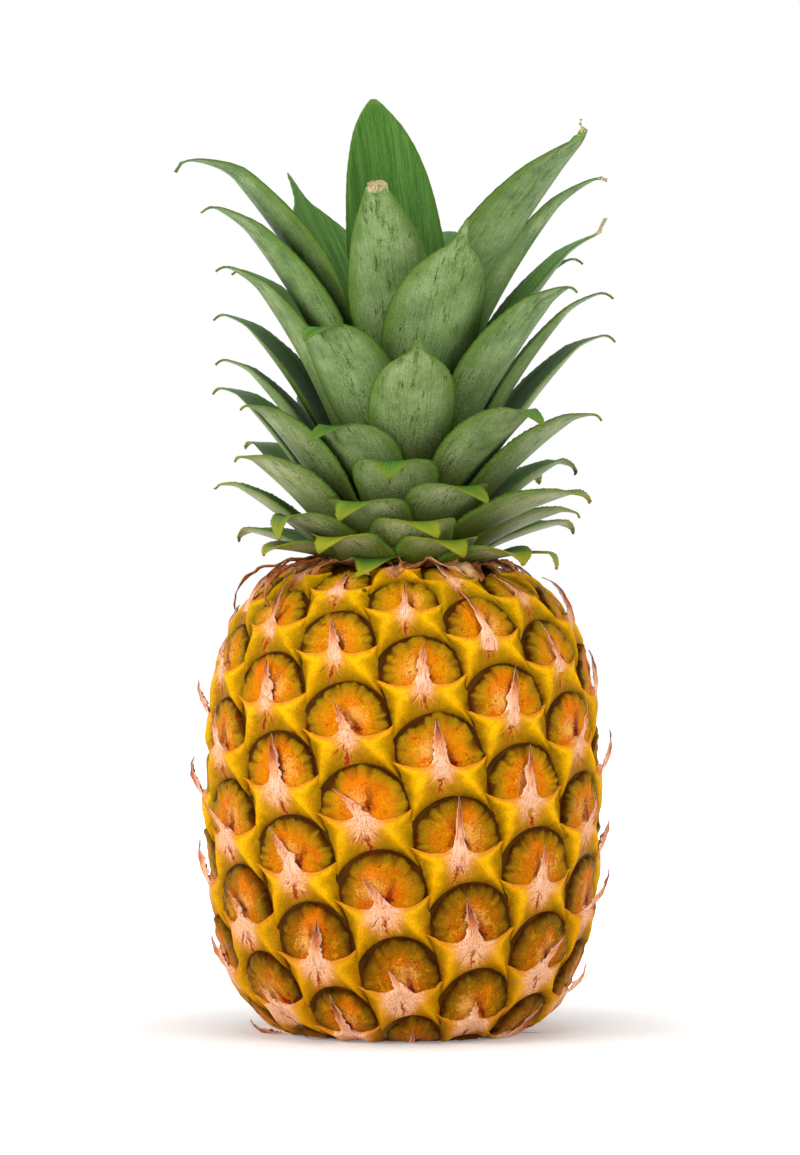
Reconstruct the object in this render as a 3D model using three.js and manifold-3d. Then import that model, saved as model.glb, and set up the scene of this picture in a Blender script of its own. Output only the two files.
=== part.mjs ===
// A fresh pineapple standing on its base: the fused fruit with its spiral of eyes and spined bracts, the cut stalk
// under it, and the crown of separate leaves on their short stem, with a few dried bracts at the crown's foot.
// Millimetres, +Z up. The origin is the middle of the stalk's cut end, on the surface that the fruit stands on, and
// azimuths are degrees turned from the front (-Y) towards +X.
import * as THREE from "three";
import { mergeVertices } from "three/addons/utils/BufferGeometryUtils.js";
import Module from "manifold-3d";

const wasm = await Module();
wasm.setup();

// ---- The fruit ----
// Outline of the fruit's skin as (radius, height), from the stalk's hollow to the foot of the crown.
const OUTLINE = [
  [15, 5.4], [27, 1.8], [38, 2.6], [47.5, 11], [55.2, 28], [59, 54], [59.6, 82], [57, 112], [49.5, 131.5],
  [38, 142], [24, 146.5], [11, 147.5],
];
const WIDEST_RADIUS = 59.6;
const TURN_PER_EYE = 138.02; // from one eye to the next along the growth spiral
const FIRST_EYE_AZIMUTH = -12.4; // the eye counted as number 0
const FIRST_EYE_HEIGHT = 73.5;
const ROW_RISE = 1.99; // along the outline, from one eye to the next
const ROW_RISE_CHANGE = -0.006; // the rows close up towards the crown
const END_CROWDING = 0.35; // power at which the rows close up where the outline's radius falls
const RELIEF_SHRINK = 0.7; // power at which the relief flattens there
const FRONT_CROWDING = 0.1; // the eyes are a little narrower on the front than on the back
const LOWEST_EYE = -46;
const HIGHEST_EYE = 49;
const EYE_HALF_WIDTH = 14.4;
const EYE_HALF_HEIGHT = 13.2;
const RIM_LIFT = 2.4; // how far the eye's rim stands above the groove round it
const RIM_SHARE = 0.86; // the rim's size in shares of the eye's
const RIM_FOOT = -3.2; // the rim ends this far under the eye's middle, where the bract laps it
const DISH_LIFT = 1.7; // the eye's middle is slightly hollow
const DISH_HEIGHT = 2.5; // of the hollow's middle, above the eye's
const BRACT_LIFT = 2.9;
const LAP_LIFT = 1; // of the bract's upper edge
const SPINE_LIFT = 5.6;
const SPINE_TIP = [0.8, 3.5]; // across and up from the eye's middle
// The skin is closed with cones to these heights on the axis, and its ends are filled by turned plugs.
const CONE_TIPS = [45, 105];
const FOOT_FILLING = [[0, 5], [20, 3.6], [27, 1.2], [33, 6], [24, 50], [0, 56]];
const SHOULDER_FILLING = [[0, 96], [20, 100], [34, 140], [27, 146.2], [12, 148], [0, 148]];

// ---- Stalk and crown stem ----
const JOINT_GAP = 0.3; // pieces that meet keep this gap
const ROUND_SIDES = 24;
const STALK_RADIUS = 14;
const STALK_LENGTH = 18;
const STEM_FOOT = 139; // the stem's foot sits in the fruit
const STEM_FOOT_RADIUS = 15;
const STEM_COLLAR = 148.4; // above it the stem is a dome that carries the leaves
const STEM_COLLAR_RADIUS = 23;
const STEM_HEIGHT = 46; // above the collar
const STEM_TAPER = 0.67; // power of the dome's outline: 0.5 is blunt, 1 is a cone

// ---- The crown ----
const LEAF_COUNT = 52;
const LEAF_TURN = 137.5; // from one leaf to the next up the stem
const FIRST_LEAF_AZIMUTH = 13;
const LOWEST_LEAF_HEIGHT = 149.4;
const LEAVES_HEIGHT = 41; // from the foot of the lowest leaf to that of the innermost, closer together lower down
const FRONT_LEAN = 7; // degrees that the lower leaves in front lie below the habit, and those behind stand above it
const LEAVES_CROWDING = 1.75; // 1 would space the feet evenly
const LEAF_THICKNESS = 0.8;
const LEAF_STEPS = 10;
const TIP_WIDTH = 0.8; // of a leaf or a bract
const CHANNEL_RADIUS = 24; // of a leaf's cross section, once it is free of the stem
const TIP_SHARE = 0.8; // the leaf's tip hooks over from here
const CLASP_SHARE = 0.45; // half of the leaf's foot, in shares of the stem's radius there
const OPEN_SHARES = [0.3, 0.55]; // the lowest and the innermost leaf are at their full width from here
// How the leaves change up the crown: number, start elevation, arch, hook (degrees), length and width.
const LEAF_HABITS = [
  [0, 12, 12, 40, 42, 23],
  [8, 24, 16, 40, 47, 26],
  [16, 40, 20, 36, 54, 28],
  [24, 53, 22, 34, 64, 28],
  [34, 64, 26, 30, 81, 28],
  [42, 71, 26, 26, 97, 31],
  [50, 76, 30, 24, 110, 31],
  [51, 88, 10, 6, 104, 33],
];
// Leaves that grew away from that habit: added turn, elevation, arch and hook in degrees, length in shares, and
// how far the tip sways sideways.
const OWN_HABITS = {
  0: { turn: -6, elevation: -1, arch: 6, hook: 20, length: 0.5, sway: -8 },
  2: { turn: -1, elevation: 1, length: 0.62 },
  3: { turn: -14, arch: 10, hook: 20, length: 0.66, sway: -2 },
  4: { turn: 40, elevation: -3, hook: 15, length: 0.84 },
  5: { turn: -12, elevation: 15, arch: 14, hook: 40, length: 0.5, sway: -3 },
  6: { length: 0.92 },
  7: { turn: 8, elevation: 12, length: 0.93 },
  8: { turn: -10, elevation: 16, arch: 20, hook: 40, length: 0.46, sway: 2 },
  10: { turn: -2, elevation: 14, arch: 12, hook: 40, length: 0.66 },
  11: { elevation: -1, length: 0.74 },
  12: { turn: 8, elevation: 14, length: 1.12 },
  13: { turn: 5, elevation: 16, arch: 16, hook: 45, length: 0.46, sway: 3 },
  15: { turn: 5, elevation: 7, length: 0.8 },
  16: { turn: 8, elevation: -5, length: 0.9 },
  18: { turn: 9, elevation: 9, arch: 15, hook: 45, length: 0.46 },
  19: { elevation: 1, hook: 30, length: 0.8 },
  20: { turn: 3, elevation: 12, length: 1.15 },
  21: { turn: 8, elevation: 6, arch: 13, hook: 45, length: 0.49 },
  23: { turn: 3, elevation: 11, length: 0.86 },
  24: { length: 0.92 },
  26: { turn: 7, elevation: 2, arch: 7, hook: 55, length: 0.5 },
  27: { turn: -20, elevation: 6, length: 1.2 },
  28: { elevation: 8, length: 0.95 },
  29: { turn: 3, elevation: -2, arch: 2, hook: 50, length: 0.73, sway: 2 },
  31: { turn: 15, elevation: 3, arch: 5, hook: 50, length: 0.52, sway: -3 },
  32: { elevation: 8, length: 1.14 },
  33: { turn: 22, elevation: 4 },
  34: { turn: -3, hook: -30, length: 0.78 },
  35: { turn: -12, elevation: 3, length: 1.06 },
  36: { elevation: 2, length: 1.0 },
  37: { turn: -6, elevation: 1, length: 0.95 },
  39: { turn: -4, elevation: -2, hook: 50, length: 0.75 },
  40: { turn: -8, elevation: 1, length: 1.08 },
  41: { turn: 4, elevation: 2, length: 0.86 },
  42: { turn: -9, hook: -26, length: 0.92 },
  44: { turn: -13 },
  45: { elevation: 2, length: 1.06 },
  46: { hook: -30, length: 1.03 },
  47: { hook: -24, length: 0.88, sway: -4 },
  48: { length: 0.85 },
  49: { turn: 18, elevation: -4, hook: 20, length: 1.08 },
  50: { elevation: -5, arch: 6, hook: -14, length: 1.08 },
  51: { turn: 8, length: 1.04, sway: 5 },
};

// ---- Dried bracts over the fruit's shoulder ----
const DRY_BRACT_FOOT_RADIUS = 26.5;
const DRY_BRACT_FOOT_HEIGHT = 148.6;
const DRY_BRACT_THICKNESS = 0.6;
const DRY_BRACT_STEPS = 6;
// Each one's azimuth, start elevation, arch (degrees), length, width and sideways sway.
const DRY_BRACTS = [
  [-58, 2, 62, 38, 9, 3],
  [-94, 8, 72, 35, 7, -3],
  [6, 2, 46, 28, 7, 2],
  [42, 2, 60, 32, 8, -4],
  [80, 2, 60, 34, 8, 3],
];

const radians = THREE.MathUtils.degToRad;
const lerp = THREE.MathUtils.lerp;
const clamp = THREE.MathUtils.clamp;

// A material with the piece's own colour, roughness and no metal.
function skinMaterial(color, roughness) {
  return new THREE.MeshStandardMaterial({ color, roughness, metalness: 0 });
}

// The solid of a closed three.js geometry.
function toSolid(geometry) {
  const bare = new THREE.BufferGeometry().setAttribute("position", geometry.getAttribute("position"));
  if (geometry.index) bare.setIndex(geometry.index);
  const merged = mergeVertices(bare, 1e-4);
  return new wasm.Manifold(
    new wasm.Mesh({
      numProp: 3,
      vertProperties: new Float32Array(merged.attributes.position.array),
      triVerts: new Uint32Array(merged.index.array),
    }),
  );
}

// The geometry of a solid.
function toGeometry(solid) {
  const mesh = solid.getMesh();
  const positions = new Float32Array(mesh.numVert * 3);
  for (let i = 0; i < mesh.numVert; i++) {
    positions.set(mesh.vertProperties.subarray(i * mesh.numProp, i * mesh.numProp + 3), i * 3);
  }
  const geometry = new THREE.BufferGeometry();
  geometry.setAttribute("position", new THREE.BufferAttribute(positions, 3));
  geometry.setIndex(new THREE.BufferAttribute(new Uint32Array(mesh.triVerts), 1));
  return geometry;
}

// A body turned about +Z from (radius, height) points that run from the axis, outwards and up, back to the axis.
function turned(profile, sides) {
  const points = profile.map(([r, z]) => new THREE.Vector2(r, z));
  return new THREE.LatheGeometry(points, sides).rotateX(Math.PI / 2);
}

// ---- Rows of eyes along the outline ----
const outline = new THREE.SplineCurve(OUTLINE.map(([r, z]) => new THREE.Vector2(r, z)));

// The outline sampled finely, as row, radius, height and the direction along it. Row 0 is where eye 0 sits.
const rowTable = (() => {
  const samples = 2000;
  const points = outline.getSpacedPoints(samples);
  const step = outline.getLength() / samples;
  const start = points.findIndex((p) => p.y >= FIRST_EYE_HEIGHT);
  const rowsPerStep = (i, row) =>
    step / ((ROW_RISE + ROW_RISE_CHANGE * row) * Math.pow(points[i].x / WIDEST_RADIUS, END_CROWDING));
  const rows = new Array(samples + 1).fill(0);
  for (let i = start + 1; i <= samples; i++) rows[i] = rows[i - 1] + rowsPerStep(i, rows[i - 1]);
  for (let i = start - 1; i >= 0; i--) rows[i] = rows[i + 1] - rowsPerStep(i, rows[i + 1]);
  return points.map((p, i) => {
    const before = points[Math.max(i - 1, 0)];
    const after = points[Math.min(i + 1, samples)];
    const along = after.clone().sub(before).normalize();
    return { row: rows[i], r: p.x, z: p.y, along };
  });
})();

// The outline at a row, which need not be whole.
function outlineAt(row) {
  let low = 0;
  let high = rowTable.length - 1;
  while (high - low > 1) {
    const middle = (low + high) >> 1;
    if (rowTable[middle].row < row) low = middle;
    else high = middle;
  }
  const a = rowTable[low];
  const b = rowTable[high];
  const share = clamp((row - a.row) / (b.row - a.row), 0, 1);
  return { r: lerp(a.r, b.r, share), z: lerp(a.z, b.z, share), along: a.along };
}

// A point on the skin at an unevened azimuth and row, raised by lift along the skin's outward normal.
function skinPoint(azimuth, row, lift) {
  const { r, z, along } = outlineAt(row);
  const even = radians(azimuth);
  const turn = even - FRONT_CROWDING * Math.sin(even);
  const out = lift * Math.pow(r / WIDEST_RADIUS, RELIEF_SHRINK);
  const radius = r + along.y * out;
  return new THREE.Vector3(radius * Math.sin(turn), -radius * Math.cos(turn), z - along.x * out);
}

// ---- One eye and its bract ----
const NEXT_LEFT = 5; // an eye's neighbours on the spirals are these many eyes on
const NEXT_RIGHT = 8;
const NEXT_ABOVE = 13;

const eyeAzimuth = (eye) => FIRST_EYE_AZIMUTH + TURN_PER_EYE * eye;

// Where an eye and a neighbour touch, half way between their middles.
function contact(eye, neighbour) {
  const low = Math.min(eye, neighbour);
  const apart = Math.abs(neighbour - eye);
  const turn = TURN_PER_EYE * apart - 360 * Math.round((TURN_PER_EYE * apart) / 360);
  return skinPoint(eyeAzimuth(low) + turn / 2, low + apart / 2, 0);
}

// A point of an eye, at millimetres across and up from its middle as they are at the fruit's widest.
function eyePoint(eye, across, up, lift) {
  const azimuth = eyeAzimuth(eye) + THREE.MathUtils.radToDeg(across / WIDEST_RADIUS);
  return skinPoint(azimuth, eye + up / ROW_RISE, lift);
}

// A point of the eye's edge, in the groove.
function edgePoint(eye, degrees) {
  const angle = radians(degrees);
  return eyePoint(eye, EYE_HALF_WIDTH * Math.cos(angle), EYE_HALF_HEIGHT * Math.sin(angle), 0);
}

const TOP_ARC = [65, 97, 130]; // degrees round the eye's edge, counted from its right
const RIGHT_ARC = 8;
const LEFT_ARC = 187;
const LAP = [[-7.5, -4.6], [0.5, -5.4], [8.5, -3.8]]; // the bract's upper edge, across the eye, left to right
// Degrees round the rim, one for each point of the eye's edge.
const RIM = [-17, RIGHT_ARC, 32, ...TOP_ARC, 163, LEFT_ARC, 212, 232, 270, 312];
const HUB = [[-2.4, -5.8], [-3.2, -9], [3.2, -9], [2.4, -5.8]]; // the bract's fleshy middle, round the spine's foot
const NEAREST_HUB = [0, 0, 1, 1, 1, 2, 2, 2, 3, 3, 3, 0]; // for each point of the bract's edge

const lapPoint = (eye, [across, up]) => eyePoint(eye, across, up, LAP_LIFT);

// The eye's edge, in the groove, anticlockwise from the right as seen from outside.
function eyeEdge(eye) {
  return [
    contact(eye, eye - NEXT_LEFT),
    edgePoint(eye, RIGHT_ARC),
    contact(eye, eye + NEXT_RIGHT),
    ...TOP_ARC.map((degrees) => edgePoint(eye, degrees)),
    contact(eye, eye + NEXT_LEFT),
    edgePoint(eye, LEFT_ARC),
    contact(eye, eye - NEXT_RIGHT),
    ...LAP.map((point) => lapPoint(eye, point)),
  ];
}

// The bract's edge, anticlockwise from its upper left corner: the eyes round it and the edge that laps its own eye.
function bractEdge(eye) {
  const left = eye - NEXT_RIGHT;
  const below = eye - NEXT_ABOVE;
  const right = eye - NEXT_LEFT;
  return [
    contact(eye, left),
    edgePoint(left, RIGHT_ARC),
    contact(left, below),
    ...TOP_ARC.toReversed().map((degrees) => edgePoint(below, degrees)),
    contact(below, right),
    edgePoint(right, LEFT_ARC),
    contact(right, eye),
    ...LAP.toReversed().map((point) => lapPoint(eye, point)),
  ];
}

// Collects triangles, and can close each open end with a cone to a point on the axis.
class Skin {
  corners = [];

  triangle(a, b, c) {
    this.corners.push(a, b, c);
  }

  band(outer, inner) {
    outer.forEach((point, i) => {
      const next = (i + 1) % outer.length;
      this.triangle(point, outer[next], inner[next]);
      this.triangle(point, inner[next], inner[i]);
    });
  }

  fan(ring, middle) {
    ring.forEach((point, i) => this.triangle(point, ring[(i + 1) % ring.length], middle));
  }

  closeEnds(lowApex, highApex) {
    const key = (p) => p.toArray().map((v) => v.toFixed(3)).join();
    const edges = new Map();
    for (let i = 0; i < this.corners.length; i++) {
      const from = this.corners[i];
      const to = this.corners[i % 3 === 2 ? i - 2 : i + 1];
      if (edges.has(key(to) + key(from))) edges.delete(key(to) + key(from));
      else edges.set(key(from) + key(to), [from, to]);
    }
    for (const [from, to] of edges.values()) {
      this.triangle(to, from, from.z < lowApex.z ? lowApex : highApex);
    }
  }

  geometry() {
    return new THREE.BufferGeometry().setFromPoints(this.corners);
  }
}

// The eye itself: a rim that rises out of the groove round a slightly hollow disc.
function addEye(skin, eye) {
  const rim = RIM.map((degrees) => {
    const across = RIM_SHARE * EYE_HALF_WIDTH * Math.cos(radians(degrees));
    const up = RIM_SHARE * EYE_HALF_HEIGHT * Math.sin(radians(degrees));
    return eyePoint(eye, across, Math.max(up, RIM_FOOT), RIM_LIFT);
  });
  skin.band(eyeEdge(eye), rim);
  skin.fan(rim, eyePoint(eye, 0, DISH_HEIGHT, DISH_LIFT));
}

// The bract under the eye: a ridged star that rises to a fleshy middle, which ends in a spine over the eye.
function addBract(skin, eye) {
  const edge = bractEdge(eye);
  const hub = HUB.map(([across, up]) => eyePoint(eye, across, up, BRACT_LIFT));
  edge.forEach((point, i) => {
    const next = (i + 1) % edge.length;
    const [here, there] = [NEAREST_HUB[i], NEAREST_HUB[next]];
    skin.triangle(point, edge[next], hub[here]);
    if (here !== there) skin.triangle(edge[next], hub[there], hub[here]);
  });
  skin.fan(hub, eyePoint(eye, ...SPINE_TIP, SPINE_LIFT));
}

// A round hole along the axis, with the gap to what sits in it.
function bore(radius, low, high) {
  const wall = radius + JOINT_GAP;
  return turned([[0, low], [wall, low], [wall, high], [0, high]], ROUND_SIDES);
}

// The fruit: the skin of eyes and bracts, filled at both ends, flat where it stands, and bored for stalk and stem.
function fruitGeometry() {
  const skin = new Skin();
  for (let eye = LOWEST_EYE; eye <= HIGHEST_EYE; eye++) {
    addEye(skin, eye);
    if (eye >= LOWEST_EYE + NEXT_ABOVE) addBract(skin, eye);
  }
  const [lowTip, highTip] = CONE_TIPS.map((height) => new THREE.Vector3(0, 0, height));
  skin.closeEnds(lowTip, highTip);
  const fillings = [FOOT_FILLING, SHOULDER_FILLING].map((profile) => turned(profile, ROUND_SIDES));
  const ground = new THREE.BoxGeometry(4 * WIDEST_RADIUS, 4 * WIDEST_RADIUS, 20).translate(0, 0, -10);
  const cuts = [
    ground,
    bore(STALK_RADIUS, -1, STALK_LENGTH + JOINT_GAP),
    bore(STEM_FOOT_RADIUS, STEM_FOOT - JOINT_GAP, STEM_COLLAR + STEM_HEIGHT),
  ];
  const whole = fillings.reduce((solid, filling) => solid.add(toSolid(filling)), toSolid(skin.geometry()));
  return toGeometry(cuts.reduce((solid, cut) => solid.subtract(toSolid(cut)), whole));
}

// ---- Stalk, stem and leaves ----
function stalkGeometry() {
  const edge = 0.6; // the cut end's worn edge
  const profile = [[0, 0], [STALK_RADIUS - edge, 0], [STALK_RADIUS, edge], [STALK_RADIUS, STALK_LENGTH],
    [0, STALK_LENGTH]];
  return turned(profile, ROUND_SIDES);
}

function stemRadius(height) {
  const share = clamp((height - STEM_COLLAR) / STEM_HEIGHT, 0, 1);
  return STEM_COLLAR_RADIUS * Math.pow(1 - share, STEM_TAPER);
}

function stemGeometry() {
  const dome = [0, 0.1, 0.3, 0.5, 0.7, 0.85, 0.95].map((share) => {
    const height = STEM_COLLAR + STEM_HEIGHT * share;
    return [stemRadius(height), height];
  });
  return turned([[0, STEM_FOOT], [STEM_FOOT_RADIUS, STEM_FOOT], [STEM_FOOT_RADIUS, STEM_COLLAR], ...dome,
    [0, STEM_COLLAR + STEM_HEIGHT]], ROUND_SIDES);
}

// A leaf's habit: the crown's at its number, with what is its own added.
function leafHabit(number) {
  const above = Math.max(LEAF_HABITS.findIndex(([from]) => from >= number), 1);
  const [low, high] = [LEAF_HABITS[above - 1], LEAF_HABITS[above]];
  const share = (number - low[0]) / (high[0] - low[0]);
  const [, elevation, arch, hook, length, width] = low.map((value, i) => lerp(value, high[i], share));
  const azimuth = FIRST_LEAF_AZIMUTH + LEAF_TURN * number;
  const lean = FRONT_LEAN * (1 - number / (LEAF_COUNT - 1));
  const own = { turn: 0, elevation: 0, arch: 0, hook: 0, length: 1, sway: 0, ...OWN_HABITS[number] };
  return {
    azimuth: azimuth + own.turn,
    elevation: elevation - lean * Math.cos(radians(azimuth)) + own.elevation,
    arch: arch + own.arch,
    hook: hook + own.hook,
    length: length * own.length,
    sway: own.sway,
    width,
  };
}

// Half of the leaf's width at a share of its length: clasping foot, full middle, spine at the tip.
const leafOutline = new THREE.SplineCurve(
  [[0, 0.8], [0.15, 0.9], [0.4, 1], [0.62, 0.96], [0.79, 0.74], [0.9, 0.4], [0.96, 0.14], [1, 0.03]].map(
    ([along, half]) => new THREE.Vector2(along, half)),
);

// A middle line in the plane through the axis, as radius, height and elevation at each step along it.
function middleLine({ radius, height, elevation, arch, hook, length }, steps) {
  const fine = 12;
  const stride = length / (steps * fine);
  const line = [];
  const at = { r: radius, z: height };
  for (let i = 0; i <= steps * fine; i++) {
    const share = i / (steps * fine);
    const tip = Math.max(0, (share - TIP_SHARE) / (1 - TIP_SHARE));
    const angle = radians(elevation - arch * share - hook * Math.sqrt(tip));
    if (i % fine === 0) line.push({ ...at, angle });
    at.r += stride * Math.cos(angle);
    at.z += stride * Math.sin(angle);
  }
  return line;
}

// A thin strip along a middle line, with half its width and the radius of its channel as functions of the share
// of its length. Its foot lies round the axis and the rest is square to its own line.
function stripGeometry({ line, azimuth, sway, half, channel, thickness }) {
  const steps = line.length - 1;
  const box = new THREE.BoxGeometry(2, 1, 1, 2, 1, steps).translate(0, 0, 0.5);
  box.deleteAttribute("normal");
  box.deleteAttribute("uv");
  const strip = mergeVertices(box);
  const position = strip.getAttribute("position");
  for (let i = 0; i < position.count; i++) {
    const [across, face, share] = [position.getX(i), position.getY(i), position.getZ(i)];
    const { r, z, angle } = line[Math.round(share * steps)];
    const bend = (across * half(share)) / channel(share);
    const lean = lerp(Math.PI / 2, angle, THREE.MathUtils.smoothstep(share, 0, 0.3));
    const rise = channel(share) * (1 - Math.cos(bend));
    const thick = face * thickness * lerp(1, 0.6, share);
    const sideways = channel(share) * Math.sin(bend) + sway * share * share;
    const radius = r - Math.sin(lean) * rise - Math.sin(angle) * thick;
    position.setXYZ(i, sideways, -radius, z + Math.cos(lean) * rise + Math.cos(angle) * thick);
  }
  return strip.rotateZ(radians(azimuth));
}

// A leaf: it clasps the stem, opens into a channel and ends in a hooked spine.
function leafGeometry(number) {
  const habit = leafHabit(number);
  const upTheCrown = number / (LEAF_COUNT - 1);
  const height = LOWEST_LEAF_HEIGHT + LEAVES_HEIGHT * Math.pow(upTheCrown, LEAVES_CROWDING);
  const clearance = stemRadius(height) + JOINT_GAP + LEAF_THICKNESS / 2;
  const foot = clearance / Math.cos(CLASP_SHARE / 2);
  const open = lerp(OPEN_SHARES[0], OPEN_SHARES[1], upTheCrown);
  const halfWidth = (share) => {
    const full = lerp(CLASP_SHARE * foot, habit.width / 2, THREE.MathUtils.smoothstep(share, 0, open));
    return Math.max(leafOutline.getPoint(share).y * full, TIP_WIDTH / 2);
  };
  return stripGeometry({
    line: middleLine({ ...habit, radius: foot, height }, LEAF_STEPS),
    azimuth: habit.azimuth,
    sway: habit.sway,
    half: halfWidth,
    channel: (share) => lerp(foot, CHANNEL_RADIUS, THREE.MathUtils.smoothstep(share, 0, 0.4)),
    thickness: LEAF_THICKNESS,
  });
}

// A dried bract: a papery strip that lies over the fruit's shoulder and curls at its end.
function dryBractGeometry([azimuth, elevation, arch, length, width, sway]) {
  const foot = { radius: DRY_BRACT_FOOT_RADIUS, height: DRY_BRACT_FOOT_HEIGHT };
  return stripGeometry({
    line: middleLine({ ...foot, elevation, arch, hook: 20, length }, DRY_BRACT_STEPS),
    azimuth,
    sway,
    half: (share) => Math.max((width / 2) * Math.pow(1 - share, 0.6), TIP_WIDTH / 2),
    channel: () => DRY_BRACT_FOOT_RADIUS,
    thickness: DRY_BRACT_THICKNESS,
  });
}

// ---- The whole pineapple ----
const pineapple = new THREE.Group();

function addPiece(name, geometry, material) {
  const mesh = new THREE.Mesh(geometry, material);
  mesh.name = name;
  pineapple.add(mesh);
}

addPiece("fruit", fruitGeometry(), skinMaterial(0xd9a21b, 0.55));
addPiece("cut_stalk", stalkGeometry(), skinMaterial(0xb9a06a, 0.85));
addPiece("crown_stem", stemGeometry(), skinMaterial(0x9fae6a, 0.7));
for (let number = 0; number < LEAF_COUNT; number++) {
  const name = "crown_leaf_" + String(number + 1).padStart(2, "0");
  addPiece(name, leafGeometry(number), skinMaterial(0x55804a, 0.5));
}

DRY_BRACTS.forEach((bract, i) => {
  addPiece("dry_bract_0" + (i + 1), dryBractGeometry(bract), skinMaterial(0xa9744a, 0.85));
});

export default pineapple;
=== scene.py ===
import bisect
import math
import random

import bmesh
import bpy
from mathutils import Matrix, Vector, noise


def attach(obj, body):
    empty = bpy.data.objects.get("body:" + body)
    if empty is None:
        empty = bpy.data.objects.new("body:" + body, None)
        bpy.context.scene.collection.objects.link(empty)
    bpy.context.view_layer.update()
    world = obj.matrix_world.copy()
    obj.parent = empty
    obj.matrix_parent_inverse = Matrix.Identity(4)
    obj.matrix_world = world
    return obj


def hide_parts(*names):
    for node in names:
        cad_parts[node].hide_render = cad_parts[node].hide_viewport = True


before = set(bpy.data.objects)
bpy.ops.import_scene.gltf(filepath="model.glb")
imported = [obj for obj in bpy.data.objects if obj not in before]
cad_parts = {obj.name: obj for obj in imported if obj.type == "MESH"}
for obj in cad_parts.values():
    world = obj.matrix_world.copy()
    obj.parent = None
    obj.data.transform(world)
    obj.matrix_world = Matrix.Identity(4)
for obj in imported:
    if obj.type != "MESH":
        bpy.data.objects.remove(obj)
noise.seed_set(1)  # without it noise_vector differs from run to run
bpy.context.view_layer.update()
random.seed(7)
mm = 0.001
mergeDistance = 0.001  # millimetres
print("frame loaded")

# Shared helpers.


def linear(hexColour):
    parts = [int(hexColour[i:i + 2], 16) / 255 for i in (1, 3, 5)]
    return [c / 12.92 if c <= 0.04045 else ((c + 0.055) / 1.055) ** 2.4 for c in parts] + [1]


def lerp(a, b, share):
    return a + (b - a) * share


def smooth(value, low, high):
    share = min(max((value - low) / (high - low), 0), 1)
    return share * share * (3 - 2 * share)


# A smooth curve through points with evenly counted spans.
def spline(points, share):
    place = (len(points) - 1) * share
    i = min(int(place), len(points) - 2)
    w = place - i
    p = [points[max(i - 1, 0)], points[i], points[i + 1], points[min(i + 2, len(points) - 1)]]
    made = []
    for a, b, c, d in zip(*p):
        m, n = (c - a) / 2, (d - b) / 2
        made.append((2 * b - 2 * c + m + n) * w ** 3 + (-3 * b + 3 * c - 2 * m - n) * w ** 2 + m * w + b)
    return made


# Height of a smooth curve through (place, height) points, by halving the span that the place lies in.
def curveAt(points, place):
    low, high = 0.0, 1.0
    halvings = 22
    for _ in range(halvings):
        middle = (low + high) / 2
        if spline(points, middle)[0] < place:
            low = middle
        else:
            high = middle
    return spline(points, low)[1]


# Adds a node with its settings and links, and gives back one of its outputs. Colours are hex values. A Mix
# of colours has its factor at 0, the colours at 6 and 7, and the result at 2.
def addNode(tree, kind, links=None, output=0, stops=None, **settings):
    made = tree.nodes.new("ShaderNode" + kind)
    for name, value in settings.items():
        setattr(made, name, value)
    for name, value in (links or {}).items():
        if isinstance(value, bpy.types.NodeSocket):
            tree.links.new(value, made.inputs[name])
        else:
            made.inputs[name].default_value = linear(value) if isinstance(value, str) else value
    for i, (place, colour) in enumerate(stops or []):
        stop = made.color_ramp.elements[i] if i < 2 else made.color_ramp.elements.new(place)
        stop.position = place
        stop.color = linear(colour)
    return made.outputs[output]


def newMaterial(name, roughness, shine=0.5):
    made = bpy.data.materials.new(name)
    made.use_nodes = True
    shader = made.node_tree.nodes["Principled BSDF"]
    shader.inputs["Roughness"].default_value = roughness
    shader.inputs["Specular IOR Level"].default_value = shine
    return made, made.node_tree, shader


# Gives a material its colour and its relief, with the relief's depth in metres.
def finishMaterial(tree, shader, colour, relief, strength, depth):
    bump = addNode(tree, "Bump", {"Height": relief, "Strength": strength, "Distance": depth})
    tree.links.new(colour, shader.inputs["Base Color"])
    tree.links.new(bump, shader.inputs["Normal"])


# Turns a profile once round the upright axis.
def turnProfile(points, steps):
    bm = bmesh.new()
    verts = [bm.verts.new(point) for point in points]
    edges = [bm.edges.new(pair) for pair in zip(verts, verts[1:])]
    bmesh.ops.spin(bm, geom=verts + edges, cent=(0, 0, 0), axis=(0, 0, 1), angle=math.tau, steps=steps,
                   use_merge=True)
    bmesh.ops.remove_doubles(bm, verts=bm.verts, dist=mergeDistance)
    return bm


# Makes an object of a bmesh, with the given material, standing for CAD nodes.
def finishPiece(name, bm, material, nodes):
    mesh = bpy.data.meshes.new(name)
    bm.to_mesh(mesh)
    bm.free()
    mesh.transform(((mm, 0, 0, 0), (0, mm, 0, 0), (0, 0, mm, 0), (0, 0, 0, 1)))
    mesh.shade_smooth()
    piece = bpy.data.objects.new(name, mesh)
    bpy.context.collection.objects.link(piece)
    mesh.materials.append(material)
    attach(piece, "root")
    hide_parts(*nodes)


# Growth of the fruit's skin, in millimetres and degrees.
growth = {
    # radius and height, from the standing surface to the crown's foot
    "outline": [(15, 5.4), (27, 1.8), (38, 2.6), (47.5, 11), (55.2, 28), (59, 54), (59.6, 82), (57, 112),
                (49.5, 131.5), (38, 142), (24, 146.5), (11, 147.5)],
    "widest": 59.6,
    "turn": 138.02,  # from one eye to the next along the spiral
    "firstTurn": -12.4,
    "firstHeight": 73.5,
    "rise": 1.99,  # from one eye to the next, up the skin
    "riseChange": -0.006,  # with each eye
    "crowding": 0.35,  # how far the eyes draw together where the fruit is narrow
    "shrink": 0.7,  # how far they flatten there
    "frontCrowding": 0.1,
    "lowest": -46,  # number of the lowest eye, where 0 is near the middle of the front
    "highest": 49,
    "halfWide": 14.4,  # of an eye, to the middle of the groove round it
    "halfHigh": 13.2,
    "tall": 148,
}


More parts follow.
